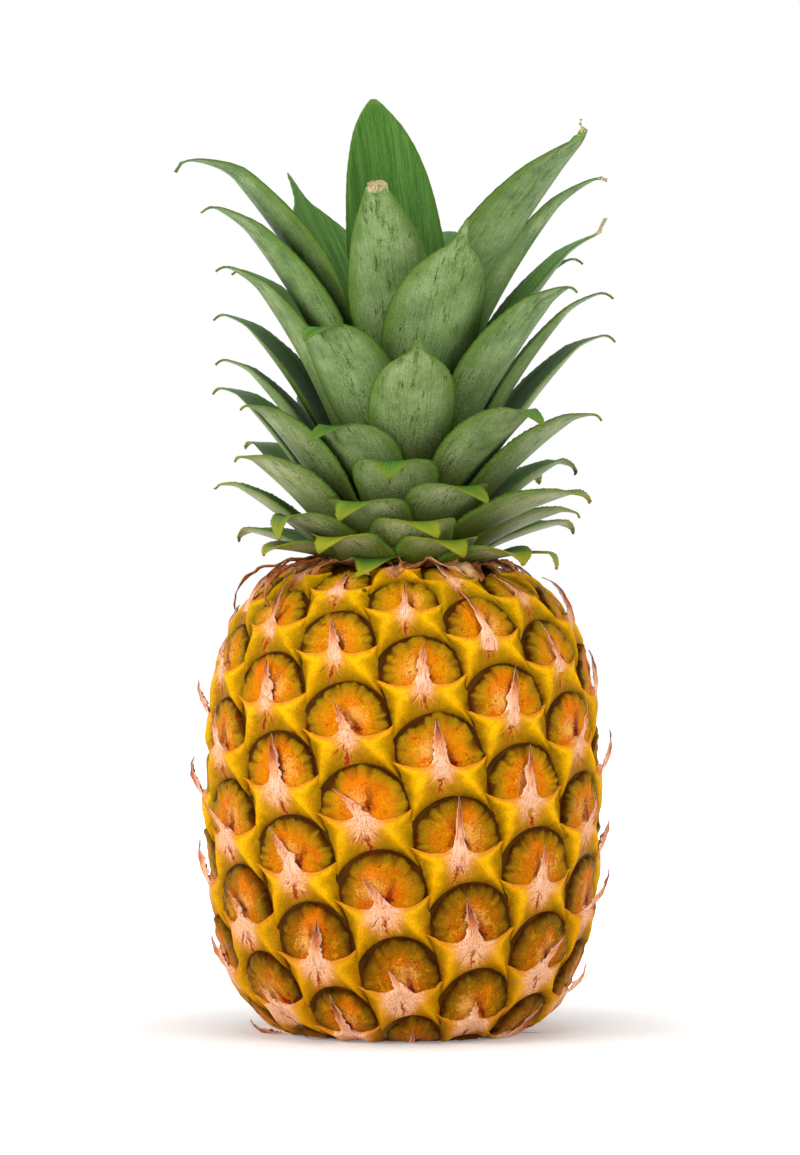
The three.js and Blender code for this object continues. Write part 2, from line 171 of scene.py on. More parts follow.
def growRows():
    samples = 1800
    points = [spline(growth["outline"], i / samples) for i in range(samples + 1)]
    start = next(i for i, p in enumerate(points) if p[1] >= growth["firstHeight"])
    rows = [0.0] * (samples + 1)

    def rowsBetween(i, j, row):
        narrowing = (points[j][0] / growth["widest"]) ** growth["crowding"]
        return math.dist(points[i], points[j]) / ((growth["rise"] + growth["riseChange"] * row) * narrowing)

    for i in range(start + 1, samples + 1):
        rows[i] = rows[i - 1] + rowsBetween(i - 1, i, rows[i - 1])
    for i in range(start - 1, -1, -1):
        rows[i] = rows[i + 1] - rowsBetween(i + 1, i, rows[i + 1])
    return rows, points


skinRows, skinPoints = growRows()


# A point on the skin at an azimuth and a row, raised by lift.
def skinPoint(azimuth, row, lift):
    i = min(max(bisect.bisect_left(skinRows, row), 1), len(skinRows) - 2)
    share = min(max((row - skinRows[i - 1]) / (skinRows[i] - skinRows[i - 1]), 0), 1)
    (r0, z0), (r1, z1) = skinPoints[i - 1], skinPoints[i]
    r, z = lerp(r0, r1, share), lerp(z0, z1, share)
    before, after = 12, 11  # samples that the slope is taken over
    (ra, za), (rb, zb) = skinPoints[max(i - before, 0)], skinPoints[min(i + after, len(skinPoints) - 1)]
    length = math.hypot(rb - ra, zb - za)
    out = lift * (r / growth["widest"]) ** growth["shrink"]
    even = math.radians(azimuth)
    turn = even - growth["frontCrowding"] * math.sin(even)
    radius = r + (zb - za) / length * out
    z -= (rb - ra) / length * out
    # Nothing goes below the surface that the fruit stands on: the last millimetre is squeezed in over it.
    return Vector((radius * math.sin(turn), -radius * math.cos(turn), z if z > 1 else math.exp(z - 1)))


def eyeAzimuth(eye):
    return growth["firstTurn"] + growth["turn"] * eye


# A point of an eye, at millimetres across and up from its middle.
def layOn(eye, across, up, lift):
    azimuth = eyeAzimuth(eye) + math.degrees(across / growth["widest"])
    return skinPoint(azimuth, eye + up / growth["rise"], lift)


# How far up the fruit an eye sits, from 0 at its foot to 1 at the crown.
def heightOf(eye):
    return layOn(eye, 0, 0, 0).z / growth["tall"]


# What every point keeps for the materials: its place on the pattern, and its eye's chance and height.
keptMarks = ("across", "up", "edge", "fold", "chance", "height")


# Copies a flat pattern piece for each eye, and bends it onto the fruit with its own habit.
def growPieces(name, pattern, eyes, shape, material):
    flat = bpy.data.meshes.new(name + "Pattern")
    pattern.to_mesh(flat)
    pattern.free()
    bm = bmesh.new()
    marks = [bm.verts.layers.float.new(mark) for mark in keptMarks]
    for eye in eyes:
        before = len(bm.verts)
        bm.from_mesh(flat)
        bm.verts.ensure_lookup_table()
        dice = random.Random(eye * 131 + len(name))
        chance = dice.random()
        habit = {"eye": eye, "seed": 50 * chance, "dice": [dice.uniform(-1, 1) for _ in range(8)]}
        height = heightOf(eye)
        for vert in bm.verts[before:]:
            across, up, lift, edge, fold = shape(vert.co, habit)
            for mark, value in zip(marks, (across, up, edge, fold, chance, height)):
                vert[mark] = value
            vert.co = layOn(eye, across, up, lift)
    bpy.data.meshes.remove(flat)
    finishPiece(name, bm, material, ["fruit"])


# The kept marks, two random numbers of the eye's own, and places for textures: flat on the pattern, in a
# layer of the eye's own, and that layer alone.
def textureMarks(tree, layerSpread, spreads):
    marks = [addNode(tree, "Attribute", output="Fac", attribute_name=mark) for mark in keptMarks]
    across, up, _, _, chance, _ = marks
    layer = addNode(tree, "Math", {0: chance, 1: layerSpread}, operation="MULTIPLY")
    for spread in spreads:
        own = addNode(tree, "Math", {0: chance, 1: spread}, operation="MULTIPLY")
        marks.append(addNode(tree, "Math", {0: own}, operation="FRACT"))
    flat = addNode(tree, "CombineXYZ", {"X": across, "Y": up})
    place = addNode(tree, "CombineXYZ", {"X": across, "Y": up, "Z": layer})
    return marks + [flat, place, addNode(tree, "CombineXYZ", {"Z": layer})]


# Core: the bottom of the grooves, the fruit's underside and its shoulder.
core = {
    "sides": 128,
    "levels": 70,
    "lift": 1.15,  # of the grooves' bottom over the outline
    "foot": [(0, 4.4), (8, 4.6)],  # the hollow round the stalk, before the outline
    "shoulder": [(0, 147.8)],
}


def grooveMaterial():
    # Grown-together skin in the grooves, thin, waxy and dark olive: a soft dark line round each eye, with
    # patches about 6 mm across.
    made, tree, shader = newMaterial("pineapple groove skin", 0.6, 0.05)
    place = addNode(tree, "TexCoord", output="Object")
    patches = addNode(tree, "TexNoise", {"Vector": place, "Scale": 160, "Detail": 4, "Roughness": 0.6})
    # The grooves' dark brown is partly the skin's own dark olive and partly painted shade in the recess.
    green = addNode(tree, "ValToRGB", {"Fac": patches}, stops=[(0.3, "#341a00"), (0.55, "#462600"),
                                                               (0.8, "#5a3602")])
    # Under the fruit it is dry and paler.
    height = addNode(tree, "SeparateXYZ", {0: place}, output="Z")
    dry = addNode(tree, "MapRange", {"Value": height, "From Min": 0.008, "From Max": 0.003, "To Max": 0.9})
    tan = addNode(tree, "ValToRGB", {"Fac": patches}, stops=[(0.35, "#6a4a1a"), (0.65, "#a8803c")])
    colour = addNode(tree, "Mix", {0: dry, 6: green, 7: tan}, output=2, data_type="RGBA")
    finishMaterial(tree, shader, colour, patches, 0.4, 0.0006)
    return made


def makeCore():
    low, high, levels = skinRows[0], skinRows[-1], core["levels"]
    skin = [skinPoint(0, lerp(low, high, i / levels), core["lift"]) for i in range(levels + 1)]
    profile = core["foot"] + [(-point.y, point.z) for point in skin] + core["shoulder"]
    bm = turnProfile([(r, 0, z) for r, z in profile], core["sides"])
    bmesh.ops.recalc_face_normals(bm, faces=bm.faces)
    finishPiece("rindCore", bm, grooveMaterial(), ["fruit"])


# Eyes: a fluted rim round a slightly hollow disc, its lower part under the bract.
eyeForm = {
    # share of the way out, and height over the outline
    "profile": [(0, 1.95), (0.08, 1.96), (0.17, 2.0), (0.28, 2.08), (0.4, 2.2), (0.52, 2.34), (0.62, 2.46),
                (0.71, 2.58), (0.785, 2.68), (0.85, 2.72), (0.9, 2.64), (0.94, 2.42), (0.97, 2.0),
                (0.99, 1.3), (1.0, 0.0)],
    "steps": 66,
    "sink": 0.2,  # how steeply the rim dives under the bract
    "scallop": 0.052,  # depth as a share of the size, and how close they come
    "scallops": 3.6,
    "sharp": 4,  # how narrow their folds are
    "rim": (0.5, 0.88),  # where they set in and where they are full
    "fineScallops": 9,
    "fine": 0.45,  # their depth, as a share of the coarse ones'
    "square": (0.012, 0.014),  # how four-sided an eye is, middle and spread
    "sizes": 0.012,  # spread
    "swell": (0.3, 0.6),  # of the disc, by chance and with the lobes
    "tilt": 0.5,
    "lobe": 0.075,  # likewise
    "lobes": 2.1,
    "flute": 0.5,
    "lump": 0.85,
    "lumps": 0.3,
}


def eyePattern():
    bm = turnProfile([(0, -ring, lift) for ring, lift in eyeForm["profile"]], eyeForm["steps"])
    rim = [edge for edge in bm.edges if edge.is_boundary]
    bmesh.ops.contextual_create(bm, geom=rim)
    bmesh.ops.recalc_face_normals(bm, faces=bm.faces)
    return bm


def eyeShape(point, habit):
    ring = math.hypot(point.x, point.y)
    turn = math.atan2(point.y, point.x)
    dice, seed = habit["dice"], habit["seed"]
    direction = Vector((math.cos(turn), math.sin(turn), 0))
    crumpled = noise.noise(direction * (eyeForm["scallops"] + 0.8 * dice[3]) + Vector((0, 0, seed)))
    fine = noise.noise(direction * eyeForm["fineScallops"] + Vector((0, 0, seed + 9)))
    folds = max(1 - abs(crumpled) * eyeForm["sharp"], 0) + eyeForm["fine"] * fine
    edge = smooth(ring, *eyeForm["rim"])
    lobes = noise.noise(direction * eyeForm["lobes"] + Vector((0, 0, seed + 20)))
    fourSided, spread = eyeForm["square"]
    square = math.cos(4 * turn + 0.8 * dice[4]) * (fourSided + spread * dice[5])
    outline = eyeForm["lobe"] * lobes + square - eyeForm["scallop"] * folds
    size = 1 + eyeForm["sizes"] * dice[0] + edge * outline
    across = ring * growth["halfWide"] * size * math.cos(turn)
    up = ring * growth["halfHigh"] * size * math.sin(turn)
    inside = 1 - smooth(ring, 0.92, 1)
    lift = point.z - eyeForm["flute"] * folds * edge * inside
    byChance, withLobes = eyeForm["swell"]
    lift += (byChance * dice[1] + withLobes * lobes) * smooth(ring, 0.2, 0.7) * inside
    lumps = noise.noise(Vector((across * eyeForm["lumps"], up * eyeForm["lumps"], seed)))
    lift += eyeForm["lump"] * lumps * inside
    lift += eyeForm["tilt"] * dice[6] * math.cos(turn - 3 * dice[7]) * smooth(ring, 0.1, 0.8) * inside
    return across, up, lift - eyeForm["sink"] * max(-up, 0) * smooth(ring, 0.3, 0.8), ring, folds * edge


def eyeMaterial():
    # Living skin of a fruitlet, waxed by the plant itself: amber to olive and satin, with radial flutes and
    # a dry scar. The marks are in millimetres, so a scale of 0.2 gives blotches about 5 mm across.
    made, tree, shader = newMaterial("pineapple eye skin", 0.4, 0.02)
    marks = textureMarks(tree, 97, (23, 71))
    across, up, ring, crease, chance, height, second, third, flat, place, seed = marks
    outwards = addNode(tree, "VectorMath", {0: flat}, operation="NORMALIZE")
    spokes = addNode(tree, "VectorMath", {0: outwards, 1: (5.5, 5.5, 5.5), 2: seed},
                     operation="MULTIPLY_ADD")
    spokes = addNode(tree, "VectorMath", {0: place, 1: (0.09, 0.09, 0), 2: spokes},
                     operation="MULTIPLY_ADD")
    streaks = addNode(tree, "TexNoise", {"Vector": spokes, "Scale": 1, "Detail": 4, "Roughness": 0.65})
    blotches = addNode(tree, "TexNoise", {"Vector": place, "Scale": 0.2, "Detail": 3, "Roughness": 0.55})
    stains = addNode(tree, "TexNoise", {"Vector": place, "Scale": 0.3, "Detail": 5, "Roughness": 0.65,
                                        "Distortion": 0.5})
    stipple = addNode(tree, "TexNoise", {"Vector": place, "Scale": 2.0, "Detail": 3, "Roughness": 0.75})
    uneven = ring
    for value, share in ((streaks, 0.16), (blotches, 0.3), (stipple, 0.08)):
        uneven = addNode(tree, "Math", {0: value, 1: share, 2: uneven}, operation="MULTIPLY_ADD")
    uneven = addNode(tree, "Math", {0: uneven, 1: 0.27}, operation="SUBTRACT")
    uneven = addNode(tree, "Math", {0: crease, 1: 0.05, 2: uneven}, operation="MULTIPLY_ADD")
    # Amber in the middle rows, golden olive near the crown, brown olive near the foot.
    # Each ramp ends in dark brown at the groove: partly the skin's own, partly painted shade there.
    ripe = addNode(tree, "ValToRGB", {"Fac": uneven}, stops=[
        (0.0, "#e27600"), (0.42, "#e07e00"), (0.58, "#d28202"), (0.72, "#bc7f04"), (0.82, "#a67906"),
        (0.9, "#927006"), (0.95, "#7a5806"), (0.978, "#563400"), (1.0, "#422200")])
    high = addNode(tree, "ValToRGB", {"Fac": uneven}, stops=[
        (0.0, "#e09602"), (0.4, "#d29200"), (0.56, "#ba8a02"), (0.7, "#9e7c04"), (0.82, "#867006"),
        (0.91, "#705a06"), (0.965, "#4e3002"), (1.0, "#3a2000")])
    low = addNode(tree, "ValToRGB", {"Fac": uneven}, stops=[
        (0.0, "#b45c02"), (0.4, "#9e5800"), (0.6, "#8c5400"), (0.76, "#7a5202"), (0.88, "#684a02"),
        (0.94, "#543802"), (0.975, "#3e2400"), (1.0, "#301800")])
    wander = addNode(tree, "Math", {0: second, 1: 0.5, 2: -0.25}, operation="MULTIPLY_ADD")
    lowness = addNode(tree, "MapRange", {"Value": height, "From Min": 0.2, "From Max": 0.58, "To Min": 0.95,
                                         "To Max": -0.1})
    lowness = addNode(tree, "Math", {0: lowness, 1: wander}, operation="ADD", use_clamp=True)
    highness = addNode(tree, "MapRange", {"Value": height, "From Min": 0.72, "From Max": 0.96})
    highness = addNode(tree, "Math", {0: highness, 1: wander}, operation="ADD", use_clamp=True)
    colour = addNode(tree, "Mix", {0: lowness, 6: ripe, 7: low}, output=2, data_type="RGBA")
    colour = addNode(tree, "Mix", {0: highness, 6: colour, 7: high}, output=2, data_type="RGBA")
    inside = addNode(tree, "MapRange", {"Value": uneven, "From Min": 0.9, "From Max": 0.6})
    below = addNode(tree, "MapRange", {"Value": highness, "From Min": 0.05, "From Max": 0.6, "To Min": 1,
                                       "To Max": 0.25})
    # Dark brown along the folds of the rim is painted shade in their creases.
    crease = addNode(tree, "MapRange", {"Value": crease, "From Min": 0.2, "From Max": 1.0, "To Max": 0.65})
    golden = addNode(tree, "MapRange", {"Value": stains, "From Min": 0.49, "From Max": 0.37, "To Max": 0.6},
                     interpolation_type="SMOOTHSTEP")
    golden = addNode(tree, "Math", {0: golden, 1: inside}, operation="MULTIPLY")
    red = addNode(tree, "MapRange", {"Value": stains, "From Min": 0.52, "From Max": 0.66, "To Max": 0.8},
                  interpolation_type="SMOOTHSTEP")
    red = addNode(tree, "Math", {0: red, 1: inside}, operation="MULTIPLY")
    red = addNode(tree, "Math", {0: red, 1: below}, operation="MULTIPLY")
    # Orange flush above the scar on some eyes, and pale stippled flesh beside it.
    flushX = addNode(tree, "Math", {0: second, 1: 8, 2: -4}, operation="MULTIPLY_ADD")
    flush = addNode(tree, "CombineXYZ", {"X": flushX, "Y": 6.5})
    flush = addNode(tree, "VectorMath", {0: flat, 1: flush}, output="Value", operation="DISTANCE")
    flush = addNode(tree, "Math", {0: stains, 1: 8, 2: flush}, operation="MULTIPLY_ADD")
    flush = addNode(tree, "Math", {0: third, 1: 4, 2: flush}, operation="MULTIPLY_ADD")
    flush = addNode(tree, "MapRange", {"Value": flush, "From Min": 6.5, "From Max": 11, "To Min": 0.88,
                                       "To Max": 0}, interpolation_type="SMOOTHSTEP")
    flush = addNode(tree, "Math", {0: flush, 1: below}, operation="MULTIPLY")
    fleshX = addNode(tree, "Math", {0: chance, 1: 8, 2: -4}, operation="MULTIPLY_ADD")
    flesh = addNode(tree, "CombineXYZ", {"X": fleshX, "Y": 1.4})
    flesh = addNode(tree, "VectorMath", {0: flat, 1: flesh}, output="Value", operation="DISTANCE")
    flesh = addNode(tree, "Math", {0: stipple, 1: 14, 2: flesh}, operation="MULTIPLY_ADD")
    flesh = addNode(tree, "Math", {0: stains, 1: 6, 2: flesh}, operation="MULTIPLY_ADD")
    flesh = addNode(tree, "MapRange", {"Value": flesh, "From Min": 10, "From Max": 15.5, "To Min": 0.8,
                                       "To Max": 0}, interpolation_type="SMOOTHSTEP")
    # The scar of the fallen flower: a crooked red-brown gash from the spine's foot, with a redder edge.
    crooked = addNode(tree, "TexNoise", {"Vector": place, "Scale": 0.6, "Detail": 5, "Roughness": 0.75})
    slope = addNode(tree, "Math", {0: second, 1: 1.6, 2: -0.5}, operation="MULTIPLY_ADD")
    scar = across
    for value, share in ((up, slope), (crooked, 7), (third, -2.4)):
        scar = addNode(tree, "Math", {0: value, 1: share, 2: scar}, operation="MULTIPLY_ADD")
    scar = addNode(tree, "Math", {0: scar, 1: 4.6}, operation="SUBTRACT")
    scar = addNode(tree, "Math", {0: scar}, operation="ABSOLUTE")
    along = addNode(tree, "Math", {0: third, 1: 3, 2: up}, operation="MULTIPLY_ADD")
    along = addNode(tree, "MapRange", {"Value": along, "From Min": -4, "From Max": 9.5})
    along = addNode(tree, "ValToRGB", {"Fac": along}, stops=[
        (0.1, "#000000"), (0.32, "#ffffff"), (0.5, "#d8d8d8"), (0.95, "#000000")])
    # The gash's dark maroon is partly the scar's own red and partly painted shadow of the spine's foot.
    gashAndShadow = addNode(tree, "MapRange", {"Value": scar, "From Min": 1.5, "From Max": 0.5, "To Max": 0.95},
                   interpolation_type="SMOOTHSTEP")
    gashAndShadow = addNode(tree, "Math", {0: gashAndShadow, 1: along}, operation="MULTIPLY")
    sore = addNode(tree, "MapRange", {"Value": scar, "From Min": 3.6, "From Max": 1, "To Max": 0.7},
                   interpolation_type="SMOOTHSTEP")
    sore = addNode(tree, "Math", {0: sore, 1: along}, operation="MULTIPLY")
    rust = addNode(tree, "TexNoise", {"Vector": place, "Scale": 0.5, "Detail": 5, "Roughness": 0.75})
    rust = addNode(tree, "MapRange", {"Value": rust, "From Min": 0.585, "From Max": 0.65, "To Max": 0.85},
                   interpolation_type="SMOOTHSTEP")
    grain = addNode(tree, "MapRange", {"Value": stipple, "From Min": 0.52, "From Max": 0.68, "To Max": 0.4})
    # Pale yellow specks in the disc are painted glints.
    bright = addNode(tree, "MapRange", {"Value": stipple, "From Min": 0.46, "From Max": 0.32,
                                        "To Max": 0.35})
    bright = addNode(tree, "Math", {0: bright, 1: inside}, operation="MULTIPLY")
    masks = ((golden, "#e0960a"), (red, "#d05a06"), (flush, "#e87606"), (crease, "#6e3c04"),
             (grain, "#8a4c04"), (bright, "#ffb428"), (flesh, "#f6b858"), (sore, "#c24a10"),
             (rust, "#8e2c04"), (gashAndShadow, "#5c1206"))
    for mask, tint in masks:
        colour = addNode(tree, "Mix", {0: mask, 6: colour, 7: tint}, output=2, data_type="RGBA")
    lumps = addNode(tree, "TexNoise", {"Vector": place, "Scale": 0.7, "Detail": 2, "Roughness": 0.5})
    relief = stipple
    for value, share in ((streaks, 1.6), (lumps, 2.5), (gashAndShadow, -1)):
        relief = addNode(tree, "Math", {0: value, 1: share, 2: relief}, operation="MULTIPLY_ADD")
    finishMaterial(tree, shader, colour, relief, 0.55, 0.0006)
    return made


# Bracts: a ridged star among four eyes, with a lip over its own eye.
bractForm = {
    "columns": 36,
    "rows": 16,
    "lipFrom": 0.76,  # share of the rows up to the lip
    # eyes round the lower edge: middle, and from and to what angle and distance the edge runs round each
    "below": [((-25.13, -15.92), (61.8, -19.2), (1.24, 1.144)),
              ((5.97, -25.87), (160.8, 34.8), (1.144, 1.06)),
              ((31.1, -9.95), (214.5, 140.0), (1.06, 1.25))],
    "gap": 1.0,
    # the lip's line over its own eye, across and up
    "edge": [(-16.8, -1.5), (-12.8, -3.0), (-8.8, -4.0), (-4.4, -3.9), (0, -1.6), (4.6, -3.8), (8.8, -3.6),
             (13.2, -1.8), (17.4, 0.9)],
    "footLift": 0.7,
    "tipLift": 2.3,
    "hubLift": 3.7,
    "ridges": (0.333, 0.667),  # where the two lower arms run, as shares of the width
    "ridgeWide": 0.075,
    "ridge": 1.5,
    "hollow": 0.8,
    "gather": 1.25,  # how close the rows come at the foot
    "rise": 0.45,  # under 1, so that it rises soon
    "lump": 0.45,
    "roll": 0.2,  # of the lip
    "tuck": 1.3,  # how far the lip's end goes below the outline
}


def bractLower(s):
    i = min(int(s * 3), 2)
    x = s * 3 - i
    (cu, cv), (a0, a1), (d0, d1) = bractForm["below"][i]
    gap = bractForm["gap"]
    away = gap + (d0 - gap) * (1 - x) ** 4 + (d1 - gap) * x ** 4
    angle = math.radians(lerp(a0, a1, x))
    across = cu + away * growth["halfWide"] * math.cos(angle)
    return across, cv + away * growth["halfHigh"] * math.sin(angle)


def bractPattern():
    bm = bmesh.new()
    bmesh.ops.create_grid(bm, x_segments=bractForm["columns"], y_segments=bractForm["rows"], size=0.5)
    for vert in bm.verts:
        vert.co.x += 0.5
        vert.co.y += 0.5
    rim = [edge for edge in bm.edges if edge.is_boundary]
    bmesh.ops.contextual_create(bm, geom=rim)
    bmesh.ops.recalc_face_normals(bm, faces=bm.faces)
    return bm


def bractShape(point, habit):
    s, k = point.x, point.y
    seed, foot = habit["seed"], bractForm["footLift"]
    middle = 1 - abs(s - 0.5) / 0.5
    hubLift = bractForm["hubLift"] + 0.4 * habit["dice"][1]
    edgeLift = lerp(bractForm["tipLift"], hubLift, smooth(middle, 0, 0.75))
    u0, v0 = bractLower(s)
    u1, v1 = spline(bractForm["edge"], s)
    v1 += 0.5 * noise.noise(Vector((s * 5, seed, 0))) * min(middle * 3, 1) + 0.4 * habit["dice"][2] * middle
    v1 += 0.3 * noise.noise(Vector((s * 24, seed, 5)))
    lip = max((k - bractForm["lipFrom"]) / (1 - bractForm["lipFrom"]), 0)
    t = min(k / bractForm["lipFrom"], 1) ** bractForm["gather"]
    ridge = sum(math.exp(-abs((s - at) / bractForm["ridgeWide"]) ** 1.4) for at in bractForm["ridges"])
    pillow = 4 * t * (1 - t)
    across = lerp(u0, u1, t)
    up = lerp(v0, v1, t) + 0.5 * math.sin(math.pi * min(lip, 1)) * (0.4 + 0.6 * middle)
    relief = pillow * (bractForm["ridge"] * ridge - bractForm["hollow"])
    lift = foot + (edgeLift - foot) * t ** bractForm["rise"] + relief
    lift += bractForm["lump"] * noise.noise(Vector((across * 0.3, up * 0.3, seed + 3))) * pillow
    tuck = (edgeLift + bractForm["tuck"]) * smooth(lip, 0.12, 1.0)
    lift += bractForm["roll"] * math.sin(math.pi * min(lip * 2.4, 1)) - tuck
    arms = max(ridge * min(t * 2.5, 1), smooth(t, 0.62, 0.98) * smooth(abs(s - 0.5), 0.03, 0.2))
    return across, up, lift, max(smooth(t, 0.9, 1), lip), arms


def bractMaterial():
    # Fleshy foot of a bract: bright yellow and satin, pale where it is drawn out into the spine, with dry
    # rusty cracks no wider than a millimetre.
    made, tree, shader = newMaterial("pineapple bract skin", 0.4, 0.02)
    marks = textureMarks(tree, 61, (19, 53))
    across, up, lip, fold, _, height, second, third, flat, place, seed = marks
    blotches = addNode(tree, "TexNoise", {"Vector": place, "Scale": 0.22, "Detail": 3, "Roughness": 0.55})
    stipple = addNode(tree, "TexNoise", {"Vector": place, "Scale": 2.1, "Detail": 3, "Roughness": 0.75})
    # Nearness to the grooves: the smallest distance to the eyes round the bract.
    nearest = None
    perEye = (1 / growth["halfWide"], 1 / growth["halfHigh"], 0)
    for (cu, cv), _, _ in bractForm["below"]:
        away = addNode(tree, "VectorMath", {0: flat, 1: (cu, cv, 0)}, operation="SUBTRACT")
        away = addNode(tree, "VectorMath", {0: away, 1: perEye}, operation="MULTIPLY")
        away = addNode(tree, "VectorMath", {0: away}, output="Value", operation="LENGTH")
        nearest = addNode(tree, "Math", {0: nearest, 1: away}, operation="MINIMUM") if nearest else away
    uneven = addNode(tree, "Math", {0: blotches, 1: 0.26, 2: nearest}, operation="MULTIPLY_ADD")
    uneven = addNode(tree, "Math", {0: stipple, 1: 0.1, 2: uneven}, operation="MULTIPLY_ADD")
    uneven = addNode(tree, "Math", {0: uneven, 1: 1.18}, operation="SUBTRACT")
    # Four arms run from the hub: yellow with painted light on their ridges, olive with painted shade
    # between.
    arms = addNode(tree, "Math", {0: blotches, 1: 0.5, 2: fold}, operation="MULTIPLY_ADD")
    arms = addNode(tree, "MapRange", {"Value": arms, "From Min": 0.3, "From Max": 1.0})
    # Both ramps end in dark brown at the grooves: partly the skin's own, partly painted shade there.
    olive = addNode(tree, "ValToRGB", {"Fac": uneven}, stops=[
        (0.0, "#442200"), (0.02, "#5e3800"), (0.05, "#7a5402"), (0.12, "#8c6802"), (0.22, "#9e7602"),
        (0.34, "#b08200"), (0.48, "#c69000"), (0.62, "#dc9e00")])
    bright = addNode(tree, "ValToRGB", {"Fac": uneven}, stops=[
        (0.0, "#482600"), (0.022, "#6e4400"), (0.05, "#9a6e02"), (0.1, "#c48e02"), (0.19, "#e4a600"),
        (0.29, "#f8b400"), (0.4, "#ffbc04"), (0.52, "#ffc00a")])
    colour = addNode(tree, "Mix", {0: arms, 6: olive, 7: bright}, output=2, data_type="RGBA")
    wander = addNode(tree, "Math", {0: second, 1: 0.4, 2: -0.2}, operation="MULTIPLY_ADD")
    lowness = addNode(tree, "MapRange", {"Value": height, "From Min": 0.12, "From Max": 0.5, "To Min": 0.5,
                                         "To Max": -0.05})
    lowness = addNode(tree, "Math", {0: lowness, 1: wander}, operation="ADD", use_clamp=True)
    highness = addNode(tree, "MapRange", {"Value": height, "From Min": 0.74, "From Max": 0.98,
                                          "To Min": -0.1, "To Max": 0.2})
    highness = addNode(tree, "Math", {0: highness, 1: wander}, operation="ADD", use_clamp=True)
    colour = addNode(tree, "Mix", {0: lowness, 6: colour, 7: "#a46402"}, output=2, data_type="RGBA")
    colour = addNode(tree, "Mix", {0: highness, 6: colour, 7: "#928604"}, output=2, data_type="RGBA")
    # Brown olive hollow below the hub, and pale speckled flesh that spreads from it, most on low bracts.
    fromHub = addNode(tree, "VectorMath", {0: flat, 1: (0.3, -4.5, 0)}, operation="SUBTRACT")
    distance = addNode(tree, "VectorMath", {0: fromHub}, output="Value", operation="LENGTH")
    outwards = addNode(tree, "VectorMath", {0: fromHub}, operation="NORMALIZE")
    spokes = addNode(tree, "VectorMath", {0: outwards, 1: (3.5, 3.5, 3.5), 2: seed},
                     operation="MULTIPLY_ADD")
    streaks = addNode(tree, "TexNoise", {"Vector": spokes, "Scale": 1, "Detail": 3, "Roughness": 0.6})
    # The hollow faces down: its brown olive is partly the bract's own and partly painted shade.
    hollow = addNode(tree, "VectorMath", {0: flat, 1: (0.5, -11.5, 0)}, operation="SUBTRACT")
    hollow = addNode(tree, "VectorMath", {0: hollow, 1: (0.7, 1, 0)}, operation="MULTIPLY")
    hollow = addNode(tree, "VectorMath", {0: hollow}, output="Value", operation="LENGTH")
    hollow = addNode(tree, "Math", {0: blotches, 1: 5, 2: hollow}, operation="MULTIPLY_ADD")
    hollow = addNode(tree, "MapRange", {"Value": hollow, "From Min": 9.5, "From Max": 4.5, "To Max": 0.75},
                     interpolation_type="SMOOTHSTEP")
    spread = addNode(tree, "MapRange", {"Value": height, "From Min": 0.1, "From Max": 0.7, "To Min": 3.2,
                                        "To Max": -1.4})
    spread = addNode(tree, "Math", {0: third, 1: 1.6, 2: spread}, operation="MULTIPLY_ADD")
    flesh = addNode(tree, "Math", {0: stipple, 1: -9, 2: distance}, operation="MULTIPLY_ADD")
    flesh = addNode(tree, "Math", {0: streaks, 1: -6, 2: flesh}, operation="MULTIPLY_ADD")
    flesh = addNode(tree, "Math", {0: flesh, 1: spread}, operation="SUBTRACT")
    rosy = addNode(tree, "MapRange", {"Value": flesh, "From Min": -5.5, "From Max": 0.6, "To Min": 0.75,
                                      "To Max": 0}, interpolation_type="SMOOTHSTEP")
    flesh = addNode(tree, "MapRange", {"Value": flesh, "From Min": -6.4, "From Max": -2.2, "To Min": 0.92,
                                       "To Max": 0}, interpolation_type="SMOOTHSTEP")
    pale = addNode(tree, "ValToRGB", {"Fac": stipple}, stops=[(0.34, "#d0683c"), (0.46, "#efae80"),
                                                              (0.62, "#f8d2ae")])
    # Rusty cracks run down from the hub, no two alike.
    split = addNode(tree, "VectorMath", {0: outwards, 1: (6, 6, 6), 2: seed}, operation="MULTIPLY_ADD")
    split = addNode(tree, "VectorMath", {0: place, 1: (0.25, 0.25, 0), 2: split}, operation="MULTIPLY_ADD")
    split = addNode(tree, "TexNoise", {"Vector": split, "Scale": 1, "Detail": 2})
    split = addNode(tree, "MapRange", {"Value": split, "From Min": 0.57, "From Max": 0.64, "To Max": 0.75},
                    interpolation_type="SMOOTHSTEP")
    reach = addNode(tree, "Math", {0: distance, 1: 0.1}, operation="MULTIPLY")
    reach = addNode(tree, "ValToRGB", {"Fac": reach}, stops=[
        (0.12, "#000000"), (0.24, "#ffffff"), (0.55, "#ffffff"), (0.8, "#000000")])
    downwards = addNode(tree, "SeparateXYZ", {0: outwards}, output="Y")
    downwards = addNode(tree, "MapRange", {"Value": downwards, "From Min": -0.5, "From Max": -0.8})
    split = addNode(tree, "Math", {0: split, 1: reach}, operation="MULTIPLY")
    split = addNode(tree, "Math", {0: split, 1: downwards}, operation="MULTIPLY")
    wobble = addNode(tree, "TexNoise", {"Vector": place, "Scale": 0.55, "Detail": 4, "Roughness": 0.7})
    slope = addNode(tree, "Math", {0: third, 1: 0.8, 2: -0.3}, operation="MULTIPLY_ADD")
    crack = across
    for value, share in ((up, slope), (wobble, 5), (slope, 6.5)):
        crack = addNode(tree, "Math", {0: value, 1: share, 2: crack}, operation="MULTIPLY_ADD")
    crack = addNode(tree, "Math", {0: crack, 1: 2.9}, operation="SUBTRACT")
    crack = addNode(tree, "Math", {0: crack}, operation="ABSOLUTE")
    along = addNode(tree, "Math", {0: second, 1: 3.2, 2: up}, operation="MULTIPLY_ADD")
    along = addNode(tree, "MapRange", {"Value": along, "From Min": -11.8, "From Max": -4.6})
